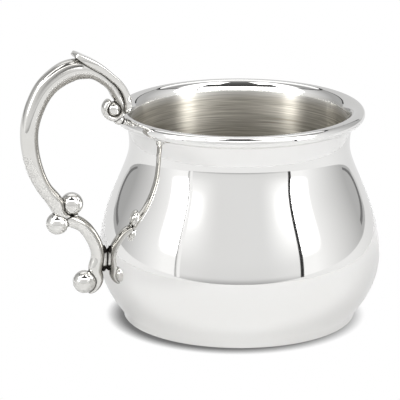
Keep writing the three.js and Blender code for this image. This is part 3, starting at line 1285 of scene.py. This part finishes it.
@dataclass
class Handle:
    """The double scroll handle: two cast scrolls, a thumb strip, four ball ends and two solder joints.

    Places are shares, as in the frame: from the rim's crest, of the reach from there and of the handle's
    rise; and from the belly's contact, of the handle's reach and of the upper ball's rise.

    Attributes:
        cup: The cup that it is soldered to.
        finish: The cast finish.
        reach: How far its middle line reaches beyond the belly, in millimetres.
        rise: How high the spur rises above the rim's crest.
        upper_ball_rise: How high the upper ball lies above the belly's contact.
        contact_height: The height of that contact.
        contact_clearance: The solder's thickness there.
        rim_ball_place: How far out and up from the rim's crest the rim ball lies, in millimetres.
        ball_places: The places of the upper, middle and lower ball.
        ball_radii: The radii of the rim ball and of those three.
        ball_faces: How many faces a ball or a drop of solder has round it, and from pole to pole.
        rim_joint_place: How far out and up from the rim's crest the solder there lies, in millimetres.
        rim_joint_size: That drop's depth, width and height.
        belly_joint_size: The same of the drop at the belly.
        notch: How far above and below its middle that drop starts to be painted dark as shade, and is black.
        curl_seat: The gap between a curl and its ball.
        curl_step: How many degrees apart a curl's rows are, about.
        ring_spacing: How far apart the limbs' rings are.
        sides: How many sides a limb's section has.
        tree: The tree that sweeps the limbs.
    """

    cup: TurnedCup
    finish: bpy.types.Material
    reach: float = 20.5
    rise: float = 18.5
    upper_ball_rise: float = 15.8
    contact_height: float = 19.0
    contact_clearance: float = 0.7
    rim_ball_place: Point = (3.1, 2.3)
    ball_places: tuple[Point, Point, Point] = ((0.449, 1.0), (0.644, 0.684), (0.293, -0.373))
    ball_radii: tuple[float, float, float, float] = (2.0, 3.0, 2.95, 3.05)
    ball_faces: tuple[int, int] = (96, 64)
    rim_joint_place: Point = (1.7, -0.6)
    rim_joint_size: tuple[float, float, float] = (3.2, 3.6, 3.0)
    belly_joint_size: tuple[float, float, float] = (2.5, 2.8, 7.2)
    notch: Pair = (1.3, 1.9)
    curl_seat: float = 0.1
    curl_step: float = 25.0
    ring_spacing: float = 0.18
    sides: int = 72
    tree: LimbTree = field(default_factory=LimbTree)

    def __post_init__(self) -> None:
        """Places the ball ends."""
        self.rim_reach = self.cup.belly_radius + self.reach - self.cup.lip_radius
        rim = self.beyond_crest(*self.rim_ball_place)
        upper, middle, lower = (self.from_belly(*place) for place in self.ball_places)
        radii = self.ball_radii
        self.rim_ball = Ball("rim_ball_end", "rim_ball", *rim, radii[0])
        self.upper_ball = Ball("upper_ball_end", "upper_ball", *upper, radii[1])
        self.middle_ball = Ball("middle_ball_end", "middle_ball", *middle, radii[2])
        self.lower_ball = Ball("lower_ball_end", "lower_ball", *lower, radii[3])

    def beyond_crest(self, out: float, up: float) -> Point:
        """Gives a place so many millimetres out and up from the rim's crest."""
        return self.cup.lip_radius + out, self.cup.height + up

    def from_rim(self, out: float, up: float) -> Point:
        """Gives a place near the rim from its shares."""
        return self.cup.lip_radius + out * self.rim_reach, self.cup.height + up * self.rise

    def from_belly(self, out: float, up: float) -> Point:
        """Gives a place near the belly from its shares."""
        return self.cup.belly_radius + out * self.reach, self.contact_height + up * self.upper_ball_rise

    def on_back(self, out: float, up: float) -> Point:
        """Gives a place on the large scroll's back, its height a share of the way up to the rim."""
        height = self.contact_height + up * (self.cup.height - self.contact_height)
        return self.cup.belly_radius + out * self.reach, height

    def curl(self, ball: Ball, angles: Pair, sizes: tuple[Size, Size]) -> list[tuple[float, ...]]:
        """Curls a scroll's end round a ball.

        Args:
            ball: The ball.
            angles: Where the curl starts and ends, in degrees: 0 is outwards and 90 is up.
            sizes: The limb's sizes there.

        Returns:
            Rows of outwards, upwards, thickness and width.
        """
        rows = []
        for share in np.linspace(0, 1, max(5, round(abs(angles[1] - angles[0]) / self.curl_step))):
            turn = math.radians(angles[0] + (angles[1] - angles[0]) * share)
            size = sizes[0].towards(sizes[1], share)
            away = ball.radius + self.curl_seat + size.thick / 4
            place = (ball.out + math.cos(turn) * away, ball.up + math.sin(turn) * away)
            rows.append((*place, size.thick, size.wide))
        return rows

    @staticmethod
    def tapered(
        places: list[Point], start: Size, end: Size | None = None, easing: float = 1
    ) -> list[tuple[float, ...]]:
        """Gives places their sizes.

        Args:
            places: The places, in millimetres outwards and upwards.
            start: The size at the first one.
            end: The size at the last one, where it isn't the same.
            easing: 1 for an even change of size, and more for one that is slow at first.

        Returns:
            Rows of outwards, upwards, thickness and width.
        """
        rows = []
        for i, place in enumerate(places):
            share = i / (len(places) - 1) if len(places) > 1 else 0
            size = start.towards(end or start, share**easing)
            rows.append((*place, size.thick, size.wide))
        return rows

    def line(self, rows: list[tuple[float, ...]]) -> np.ndarray:
        """Runs a smooth line through a limb's rows and rounds off its two ends.

        Args:
            rows: Rows of outwards, upwards, thickness and width.

        Returns:
            Finer rows of x, z, thickness and width.
        """
        line = natural_spline(np.array(rows, float), self.ring_spacing)
        line[:, 0] *= -1
        ends = []
        for step in (1, -1):
            tip = line[::step]
            dome = tip[0, 2] / 2
            reach = np.concatenate([[0], np.cumsum(np.hypot(*np.diff(tip[:, :2], axis=0).T))])
            wanted = dome * (1 - np.cos(np.linspace(0, math.pi / 2, 9)))
            rounded = np.stack([np.interp(wanted, reach, column) for column in tip.T], axis=1)
            rounded[:, 2:] *= np.sqrt(np.maximum(0, 1 - (1 - wanted / dome) ** 2))[:, None]
            ends.append((rounded[::step], int(np.searchsorted(reach, dome * 1.001))))
        (head, skip_head), (tail, skip_tail) = ends
        return np.vstack([head, line[skip_head : len(line) - skip_tail], tail])

    def upper_line(self) -> np.ndarray:
        """Gives the large scroll's line, from the rim ball over the shoulder to the upper ball.

        Returns:
            Rows of x, z, thickness and width.
        """
        tip, shoulder, foot = Size(0.7, 2.2), Size(5.7, 4.8), Size(3.95, 4.8)
        rows = self.curl(self.rim_ball, (430, 190), (Size(1.5, 2.8), Size(1.6, 3.6)))
        branch = [(0.073, 0.281), (0.134, 0.438), (0.234, 0.584), (0.33, 0.679)]
        rows += self.tapered([self.from_rim(*place) for place in branch], Size(2.6, 4.4), Size(3.95, 4.4), 2)
        bend = [(0.4, 0.718), (0.48, 0.736), (0.582, 0.718)]
        rows += self.tapered([self.from_rim(*place) for place in bend], Size(4.9, 4.6), Size(5.9, 4.8))
        outer = [(0.715, 0.629), (0.826, 0.497), (0.894, 0.354), (0.954, 0.162)]
        back = [(0.988, 0.98), (0.988, 0.83), (0.905, 0.647), (0.778, 0.519)]
        places = [self.from_rim(*place) for place in outer] + [self.on_back(*place) for place in back]
        rows += self.tapered(places, shoulder, foot)
        rows += self.curl(self.upper_ball, (0, -120), (foot, tip))
        return self.line(rows)

    def lower_line(self) -> np.ndarray:
        """Gives the small scroll's line, from the middle ball down the belly to the lower ball.

        Returns:
            Rows of x, z, thickness and width.
        """
        limb, tip = Size(3.6, 3.7), Size(0.7, 2.2)
        start = [self.from_belly(0.625, 0.72), self.from_belly(0.56, 0.755)]
        rows = self.tapered(start, Size(2.2, 2.6), Size(2.9, 3.2))
        places = [(0.473, 0.722), (0.351, 0.646), (0.207, 0.437), (0.131, 0.228), (0.111, 0.019)]
        rows += self.tapered([self.from_belly(*place) for place in places], limb)
        rows += self.curl(self.lower_ball, (140, 252), (limb, tip))
        return self.line(rows)

    def strip_line(self) -> np.ndarray:
        """Gives the thumb strip's line, from its tail on the rim over the branch to the spur's blunt tip.

        Returns:
            Rows of x, z, thickness and width.
        """
        spur, strip = Size(2.0, 6.2), Size(1.9, 6.4)
        tip = [self.from_rim(0.533, 0.967), self.from_rim(0.518, 0.952)]
        rows = self.tapered(tip, Size(1.0, 3.8), Size(1.3, 4.8))
        rows += self.tapered([self.from_rim(0.482, 0.92), self.from_rim(0.425, 0.87)], Size(1.7, 5.8), spur)
        upper = [(0.33, 0.79), (0.253, 0.717), (0.169, 0.616)]
        rows += self.tapered([self.from_rim(*place) for place in upper], Size(2.3, 6.4), strip)
        lower = [(0.096, 0.519), (0.038, 0.405), (0.008, 0.303), (-0.004, 0.205)]
        rows += self.tapered([self.from_rim(*place) for place in lower], strip)
        rows += self.tapered([self.from_rim(0, 0.119), self.from_rim(0.011, 0.043)], strip, Size(1.1, 2.4))
        return self.line(rows)[::-1]

    def limbs(self) -> list[bpy.types.Object]:
        """Sweeps the two scrolls and the thumb strip.

        Returns:
            The three limbs.
        """
        # The scored lines are painted dark as shade, and the large scroll's facets grey as a painted
        # reflection
        upper = Limb(
            "large_scroll",
            self.upper_line(),
            self.sides,
            squareness=2.4,
            scored=(28.0, 48.0),
            score_depth=0.2,
            facet=0.7,
        )
        lower = Limb("small_scroll", self.lower_line(), self.sides, squareness=2.15)
        strip = Limb(
            "thumb_rest",
            self.strip_line(),
            self.sides,
            squareness=7.0,
            scored=(0.5, 80.0),
            score_depth=0.06,
            score_angle=50.0,
            score_shade=0.45,
        )
        return [
            settle(self.tree.sweep(upper, self.finish), Slot.POLISHED, "upper_scroll"),
            settle(self.tree.sweep(lower, self.finish), Slot.POLISHED, "lower_scroll"),
            settle(self.tree.sweep(strip, self.finish), Slot.POLISHED, "thumb_strip"),
        ]

    def rounded_piece(self, name: str, middle: Point, sizes: tuple[float, float, float]) -> bpy.types.Object:
        """Makes a smooth ball or drop of metal in the handle's plane.

        Args:
            name: The piece's name.
            middle: Its middle, outwards and upwards.
            sizes: Its full depth, width and height.

        Returns:
            The piece.
        """
        mesh = bpy.data.meshes.new(name)
        piece = bpy.data.objects.new(name, mesh)
        bpy.context.scene.collection.objects.link(piece)
        points, faces = sphere(*self.ball_faces)
        centre = np.array([-middle[0], 0, middle[1]])
        mesh.from_pydata([tuple(point) for point in (points * np.array(sizes) / 2 + centre) * MM], [], faces)
        mesh.shade_smooth()
        mesh.materials.append(self.finish)
        return piece

    def balls(self) -> list[bpy.types.Object]:
        """Makes the four ball ends.

        Returns:
            The balls, from the rim down.
        """
        made = []
        for ball in (self.rim_ball, self.upper_ball, self.middle_ball, self.lower_ball):
            piece = self.rounded_piece(ball.name, (ball.out, ball.up), (2 * ball.radius,) * 3)
            made.append(settle(piece, Slot.POLISHED, ball.node))
        return made

    def joints(self) -> list[bpy.types.Object]:
        """Makes the two drops of solder that hold the handle to the cup.

        Returns:
            The drops at the rim and at the belly, the belly drop's two ends painted black as shade.
        """
        rim_place = self.beyond_crest(*self.rim_joint_place)
        rim = self.rounded_piece("rim_joint", rim_place, self.rim_joint_size)
        belly_place = (self.cup.belly_radius + self.contact_clearance, self.contact_height)
        belly = self.rounded_piece("belly_joint", belly_place, self.belly_joint_size)
        # The belly drop's two ends are painted black, as shade where it meets the belly
        tarnish_and_shade = belly.data.attributes.new("crease", "FLOAT", "POINT")
        away = [abs(vertex.co.z / MM - self.contact_height) for vertex in belly.data.vertices]
        tarnish_and_shade.data.foreach_set("value", [eased(height, *self.notch) for height in away])
        return [settle(rim, Slot.POLISHED, "rim_solder"), settle(belly, Slot.POLISHED, "belly_solder")]


@dataclass(frozen=True)
class Creases:
    """Finds the creases between pieces and paints shade in them, partly tarnished metal. Distances are in
    metres.

    Attributes:
        black: How near another cast piece must be for the metal to be black.
        black_at_cup: How near the cup must be for that.
        blackest: The share of that distance below which it is quite black.
        grey: How near it must be for the metal to be painted a little grey as shade.
        grey_share: How dark that painted shade is, where 1 is black.
        touching: How near the other piece's direction no longer counts.
        turned: How far metal must face the other piece to start to be dark, and to be quite so, as cosines.
    """

    black: float = 0.3 * MM
    black_at_cup: float = 0.5 * MM
    blackest: float = 0.1
    grey: float = 3.0 * MM
    grey_share: float = 0.3
    touching: float = 0.1 * MM
    turned: Pair = (-0.6, 0.2)

    def near(
        self, piece: bpy.types.Object, points: np.ndarray, other: np.ndarray, surface: BVHTree, black: float
    ) -> np.ndarray:
        """Gives a mark from 0 to 1 to each point of a piece that comes near another piece.

        Args:
            piece: The piece that is marked.
            points: Its points.
            other: The other piece's points.
            surface: The other piece's surface.
            black: How near it must be for the metal to be black.

        Returns:
            The marks.
        """
        marks = np.zeros(len(points), np.float32)
        inside = (points > other.min(0) - self.grey) & (points < other.max(0) + self.grey)
        for i in np.flatnonzero(inside.all(1)):
            point = piece.data.vertices[i]
            place, _, _, distance = surface.find_nearest(point.co, self.grey)
            if place is None:
                continue
            way = (place - point.co).normalized()
            facing = way.dot(point.normal) if distance > self.touching else 1.0
            # Metal close to another piece and facing it is painted dark, as shade in the crease
            dark = (1 - eased(distance, self.blackest * black, black)) * eased(facing, *self.turned)
            grey = self.grey_share * (1 - eased(distance, 0, self.grey)) * max(0.0, facing)
            marks[i] = max(dark, grey)
        return marks

    def mark(self, pieces: list[bpy.types.Object], others: list[bpy.types.Object]) -> None:
        """Marks the creases of pieces between each other, and between them and others.

        Args:
            pieces: The pieces that get marks.
            others: Pieces that they also form creases with, and that get none.
        """
        points, surfaces = {}, {}
        for piece in pieces + others:
            points[piece] = np.array([point.co for point in piece.data.vertices])
            faces = [tuple(face.vertices) for face in piece.data.polygons]
            surfaces[piece] = BVHTree.FromPolygons([tuple(point) for point in points[piece]], faces)
        for piece in pieces:
            named = piece.data.attributes
            attribute = named.get("crease") or named.new("crease", "FLOAT", "POINT")
            marks = np.zeros(len(points[piece]), np.float32)
            attribute.data.foreach_get("value", marks)
            for other in pieces + others:
                if other != piece:
                    black = self.black if other in pieces else self.black_at_cup
                    found = self.near(piece, points[piece], points[other], surfaces[other], black)
                    marks = np.maximum(marks, found)
            attribute.data.foreach_set("value", marks)


def sphere(columns: int, rows: int) -> tuple[np.ndarray, list[tuple[int, ...]]]:
    """Makes a sphere of radius 1 with its poles on Z.

    Args:
        columns: How many faces go round it.
        rows: How many go from pole to pole.

    Returns:
        Its points and its faces, which point outwards.
    """
    points = [(0.0, 0.0, 1.0)]
    for row in range(1, rows):
        tilt = math.pi * row / rows
        for column in range(columns):
            turn = math.tau * column / columns
            points.append((math.sin(tilt) * math.cos(turn), math.sin(tilt) * math.sin(turn), math.cos(tilt)))
    points.append((0.0, 0.0, -1.0))
    last = len(points) - 1
    faces = []
    for column in range(columns):
        after = (column + 1) % columns
        faces.append((0, 1 + column, 1 + after))
        for row in range(rows - 2):
            top, bottom = 1 + row * columns, 1 + (row + 1) * columns
            faces.append((top + column, bottom + column, bottom + after, top + after))
        end = 1 + (rows - 2) * columns
        faces.append((end + column, last, end + after))
    return np.array(points), faces


# The studio


@dataclass(frozen=True)
class Panel:
    """A studio panel that only reflections see, as a patch of a large sphere round the cup.

    Angles are in degrees. Across is measured from the camera's side, to the right of it as the camera
    sees it, and up is measured from the level of the table.

    Attributes:
        name: The panel's name.
        across: Its left and right edges.
        foot: How far up its lower edge is, on the left and on the right.
        top: How far up its upper edge is.
        glow: Gives its brightness from across and up, where 1 is white.
        bow: How far the middle of its lower edge hangs down.
        radius: The sphere's radius in metres.
    """

    name: str
    across: Pair
    foot: Pair
    top: float
    glow: Callable[[float, float], float]
    bow: float = 0.0
    radius: float = 1.5

    def build(self, finish: bpy.types.Material, middle: Vector) -> bpy.types.Object:
        """Builds the panel.

        Args:
            finish: The glowing material.
            middle: The sphere's middle.

        Returns:
            The panel, which the camera doesn't see.
        """
        columns = max(2, round(self.across[1] - self.across[0]) // 2)
        rows = max(2, round(self.top - min(self.foot)) // 2)
        points, levels, faces = [], [], []
        for row in range(rows + 1):
            for column in range(columns + 1):
                share = column / columns
                across = self.across[0] + (self.across[1] - self.across[0]) * share
                foot = self.foot[0] + (self.foot[1] - self.foot[0]) * share
                foot -= self.bow * (1 - (2 * share - 1) ** 2)
                up = foot + (self.top - foot) * row / rows
                points.append(middle + towards(across, up) * self.radius)
                levels.append(self.glow(across, up))
        for row in range(rows):
            for column in range(columns):
                first = row * (columns + 1) + column
                faces.append((first, first + 1, first + columns + 2, first + columns + 1))
        mesh = bpy.data.meshes.new(self.name)
        mesh.from_pydata(points, [], faces)
        mesh.attributes.new("glow", "FLOAT", "POINT").data.foreach_set("value", levels)
        mesh.materials.append(finish)
        panel = bpy.data.objects.new(self.name, mesh)
        bpy.context.scene.collection.objects.link(panel)
        panel.visible_camera = False
        return panel


def towards(across: float, up: float) -> Vector:
    """Gives a direction from its angles.

    Args:
        across: How many degrees it lies to the right of the camera's side.
        up: How many degrees it rises above the table's level.

    Returns:
        The direction, 1 long.
    """
    turn = math.radians(PHOTO_AZIMUTH + across)
    rise = math.radians(up)
    return Vector((math.sin(turn) * math.cos(rise), -math.cos(turn) * math.cos(rise), math.sin(rise)))


def even(level: float) -> Callable[[float, float], float]:
    """Gives the same brightness all over a panel."""
    return lambda across, up: level


@dataclass(frozen=True)
class StudioLight:
    """How bright the studio's panels are from the cup, where 1 is white.

    Two angles in a pair are those between which a light comes in or goes out. They are degrees up, or, where
    the name says so, degrees across from the camera's side, to the right and to the left alike. A pair of
    levels is for the right and for the left where its name says so.

    Attributes:
        front: The front panel's brightness low down, and what it gains further up.
        front_up: Where it gains that.
        foot_shade: What its lower edge loses, which shades the cup's foot.
        foot_up: Where that ends.
        flank: What its two sides gain, and what they gain besides further up.
        flank_right_left: The shares of that.
        flank_across: Where it comes in.
        flank_up: Where the second part of it does.
        corner_lamp: The lamp in each of its upper corners.
        corner_across: Where it comes in across.
        corner_up: Where it comes in upwards.
        top_lamp: The lamp along its upper edge.
        top_up: Where it comes in.
        side: The side panels' brightness at their near ends.
        side_fall_right_left: What they lose towards the back.
        side_across: Where they lose it, evenly.
        side_lamp: The lamp at their near ends, which draws the light streaks down the brushed inside.
        side_lamp_across: Where it goes out.
        side_lamp_up: Where it comes in.
        wider: How many degrees wider it is high up.
        wider_up: Where it widens.
        low: The low panel's brightness.
        low_fall: What it loses behind the cup.
        low_across: Where it loses that.
        overhead_lamp: The lamp on each side of the overhead panels' front.
        overhead_across: Where it gives way to their middle part.
        overhead: The brightness of that part, and what their rear part gains over it.
        rear_across: Where it gains that.
    """

    front: Pair = (0.805, 0.035)
    front_up: Pair = (-5.0, 10.0)
    foot_shade: float = 0.42
    foot_up: Pair = (-10.5, -4.5)
    flank: Pair = (0.08, 0.35)
    flank_right_left: Pair = (1.3, 0.8)
    flank_across: Pair = (18.0, 50.0)
    flank_up: Pair = (0.0, 28.0)
    corner_lamp: float = 2.4
    corner_across: Pair = (30.0, 50.0)
    corner_up: Pair = (20.0, 42.0)
    top_lamp: float = 3.0
    top_up: Pair = (33.0, 40.0)
    side: float = 1.12
    side_fall_right_left: Pair = (0.62, 0.68)
    side_across: Pair = (64.0, 122.0)
    side_lamp: float = 8.0
    side_lamp_across: Pair = (60.0, 72.0)
    side_lamp_up: Pair = (6.0, 16.0)
    wider: float = 12.0
    wider_up: Pair = (31.0, 34.0)
    low: float = 0.98
    low_fall: float = 0.16
    low_across: Pair = (90.0, 150.0)
    overhead_lamp: float = 3.0
    overhead_across: Pair = (72.0, 92.0)
    overhead: Pair = (0.4, 0.9)
    rear_across: Pair = (116.0, 136.0)

    def front_glow(self, across: float, up: float) -> float:
        """Lights the front panel: even in its middle, shaded at its foot, and brightest at its top.

        Args:
            across: How many degrees to the right of the camera's side the place is.
            up: How many degrees up it is.

        Returns:
            The panel's brightness there.
        """
        away = abs(across)
        share = self.flank_right_left[0 if across > 0 else 1]
        flank = eased(away, *self.flank_across) * (self.flank[0] + self.flank[1] * eased(up, *self.flank_up))
        lamp = self.corner_lamp * eased(away, *self.corner_across) * eased(up, *self.corner_up)
        shade = self.foot_shade * (1 - eased(up, *self.foot_up))
        level = self.front[0] + self.front[1] * eased(up, *self.front_up)
        return level - shade + flank * share + lamp + self.top_lamp * eased(up, *self.top_up)

    def side_glow(self, across: float, up: float) -> float:
        """Lights the side panels: a strong lamp in front, white beside it, and greyer towards the back.

        Args:
            across: How many degrees to the right of the camera's side the place is.
            up: How many degrees up it is.

        Returns:
            The panel's brightness there.
        """
        away = abs(across)
        near, far = self.side_across
        fall = min(1.0, max(0.0, (away - near) / (far - near)))
        wider = self.wider * eased(up, *self.wider_up)
        start, end = self.side_lamp_across
        lamp = self.side_lamp * (1 - eased(away, start + wider, end + wider)) * eased(up, *self.side_lamp_up)
        return lamp + self.side - self.side_fall_right_left[0 if across > 0 else 1] * fall

    def low_glow(self, across: float, up: float) -> float:
        """Lights the low panel: white in front and a little grey behind the cup, at any height."""
        return self.low - self.low_fall * eased(abs(across), *self.low_across)

    def overhead_glow(self, across: float, up: float) -> float:
        """Lights the overhead panels: a lamp on each side in front, grey beyond it, and bright behind.

        Args:
            across: How many degrees to the right of the camera's side the place is, up to a full turn.
            up: How many degrees up it is, which changes nothing.

        Returns:
            The panel's brightness there.
        """
        away = min(abs(across), 360 - abs(across))
        beyond = eased(away, *self.overhead_across)
        lamp = self.overhead_lamp * (1 - beyond)
        return lamp + self.overhead[0] * beyond + self.overhead[1] * eased(away, *self.rear_across)


@dataclass
class Studio:
    """The white table, the soft panels round the cup with dark gaps between them, and the white room.

    Attributes:
        room_light: The strength of the room's light, where 1 is white.
        table_radius: The table's radius in metres.
        left_gap: Where the front panel ends on the left, in degrees across.
        right_gap: Where it ends on the right.
        front_foot: How far up the front panel's lower corners are.
        panel_top: How many degrees above level the panels end.
        overhead_top: Where the first overhead panels end.
        ceiling_foot: Where the high overhead panels end and the ceiling starts.
        near: The radius in metres of the strips that stand before the other panels.
        middle: The height in metres of the middle that they all stand round.
        light: How bright the panels are.
    """

    room_light: float = 1.0
    table_radius: float = 0.155
    left_gap: float = -52.5
    right_gap: float = 50.5
    front_foot: float = -7.7
    panel_top: float = 47.0
    overhead_top: float = 62.0
    ceiling_foot: float = 80.0
    near: float = 1.45
    middle: float = 0.03
    light: StudioLight = StudioLight()

    def world(self) -> None:
        """Makes the room: an even white light that the camera and reflections see as white."""
        world = bpy.data.worlds.new("white_room")
        bpy.context.scene.world = world
        world.use_nodes = True
        tree = world.node_tree
        tree.nodes.clear()
        path = add_node(tree, "ShaderNodeLightPath").outputs
        seen = add_node(
            tree, "ShaderNodeMath", {0: path["Is Camera Ray"], 1: path["Is Glossy Ray"]}, operation="MAXIMUM"
        )
        seen = add_node(
            tree, "ShaderNodeMath", {0: seen, 1: path["Is Transmission Ray"]}, operation="MAXIMUM"
        )
        light = add_node(tree, "ShaderNodeBackground", {"Color": (1, 1, 1, 1), "Strength": self.room_light})
        white = add_node(tree, "ShaderNodeBackground", {"Color": (1, 1, 1, 1), "Strength": 1.0})
        both = add_node(tree, "ShaderNodeMixShader", {0: seen, 1: light, 2: white})
        add_node(tree, "ShaderNodeOutputWorld", {"Surface": both})

    def table(self) -> bpy.types.Object:
        """Makes the round table top that the cup stands on.

        Returns:
            The table top.
        """
        count = 96
        rim = [math.tau * i / count for i in range(count)]
        points = [(self.table_radius * math.cos(a), self.table_radius * math.sin(a), 0) for a in rim]
        mesh = bpy.data.meshes.new("table_top")
        mesh.from_pydata(points, [], [tuple(range(count))])
        mesh.materials.append(WhiteTable().material())
        table = bpy.data.objects.new("table_top", mesh)
        bpy.context.scene.collection.objects.link(table)
        return table

    def panels(self) -> list[bpy.types.Object]:
        """Makes the panels all round and overhead, with dark seams and gaps where two of them meet.

        Returns:
            The panels.
        """
        left, right, foot, top = self.left_gap, self.right_gap, self.front_foot, self.panel_top
        high, ceiling, near, light = self.overhead_top, self.ceiling_foot, self.near, self.light
        seam, slot = even(0.05), even(0.2)
        made = [
            Panel("front_panel", (left, right), (foot, foot), top, light.front_glow, 2.0),
            Panel("right_panel", (right, 140), (-7, -2.5), top, light.side_glow),
            Panel("left_panel", (-140, left), (-2.5, -7), top, light.side_glow),
            Panel("right_gap", (right - 1.5, right + 1.5), (foot, foot), top, even(0.04), 0, near),
            Panel("left_gap", (left - 0.6, left + 0.6), (foot, foot), top, even(0.45), 0, near),
            Panel("left_edge_light", (left + 1.5, left + 4.0), (foot, foot), top, even(1.05), 0, near),
            Panel("right_back_slot", (124, 144), (-1, -1), 0.6, slot, 0, near),
            Panel("left_back_slot", (-144, -124), (-1, -1), 0.6, slot, 0, near),
            Panel("rear_panel", (140, 220), (-2.5, -2.5), top, even(0.68)),
            Panel("low_panel", (-180, 180), (-40, -40), -2, light.low_glow, 0, 1.6),
            Panel("front_overhead_gap", (left, right), (top, top), high, even(0.08)),
            Panel("high_overhead_gap", (-30, 30), (high, high), ceiling, even(0.12)),
            Panel("overhead_panel", (right, 360 + left), (top, top), high, light.overhead_glow),
            Panel("high_overhead_panel", (30, 330), (high, high), ceiling, light.overhead_glow),
            Panel("ceiling", (-180, 180), (ceiling, ceiling), 89.9, even(0.45)),
            Panel("overhead_seam", (right, 360 + left), (top - 1, top - 1), top + 1.5, seam, 0, near),
            Panel("rear_right_seam", (138.5, 141.5), (12, 12), top, seam, 0, near),
            Panel("rear_left_seam", (218.5, 221.5), (12, 12), top, seam, 0, near),
        ]
        glow = Glow().material()
        return [panel.build(glow, Vector((0, 0, self.middle))) for panel in made]


@dataclass
class PhotoCamera:
    """The photograph's camera, worked out from the rim's and the base's ellipses.

    Attributes:
        lens: The focal length in millimetres.
        sensor: The sensor's width in millimetres.
        distance: How far the camera is from its target, in millimetres.
        elevation: How many degrees it looks down.
        target_height: The target's height above the table.
        target_left: How far the target lies to the left of the cup's axis, as the camera sees it.
    """

    lens: float = 250.18
    sensor: float = 36.0
    distance: float = 741.0
    elevation: float = 16.036
    target_height: float = 31.165
    target_left: float = 10.45

    def place(self) -> None:
        """Makes the camera, aims it and sets it as the scene's."""
        turn = math.radians(PHOTO_AZIMUTH)
        right = Vector((math.cos(turn), math.sin(turn), 0))
        target = Vector((0, 0, self.target_height)) - right * self.target_left
        back = towards(0, self.elevation)
        data = bpy.data.cameras.new("photo_camera")
        data.lens = self.lens
        data.sensor_width = self.sensor
        data.clip_start = 0.01
        camera = bpy.data.objects.new("photo_camera", data)
        camera.location = (target + back * self.distance) * MM
        camera.rotation_euler = back.to_track_quat("Z", "Y").to_euler()
        bpy.context.scene.collection.objects.link(camera)
        bpy.context.scene.camera = camera


def main() -> None:
    """Builds the cup and its studio."""
    logging.basicConfig(level=logging.INFO, format="%(name)s: %(message)s")
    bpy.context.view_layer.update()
    scene = bpy.context.scene
    scene.view_settings.view_transform = "Standard"
    PhotoCamera().place()
    studio = Studio()
    studio.world()
    studio.table()
    studio.panels()
    cup = TurnedCup(PolishedPewter().material(), BrushedPewter().material())
    handle = Handle(cup, CastPewter().material())
    turned = [cup.body(), cup.base(), cup.bead()]
    cast = [*handle.limbs(), *handle.balls(), *handle.joints()]
    # Paints shade into the creases between the cast pieces and where they meet the cup
    Creases().mark(cast, turned)
    for piece in turned + cast:
        log.info("%s: %d faces", piece.name, len(piece.data.polygons))


if __name__ == "__main__":
    main()
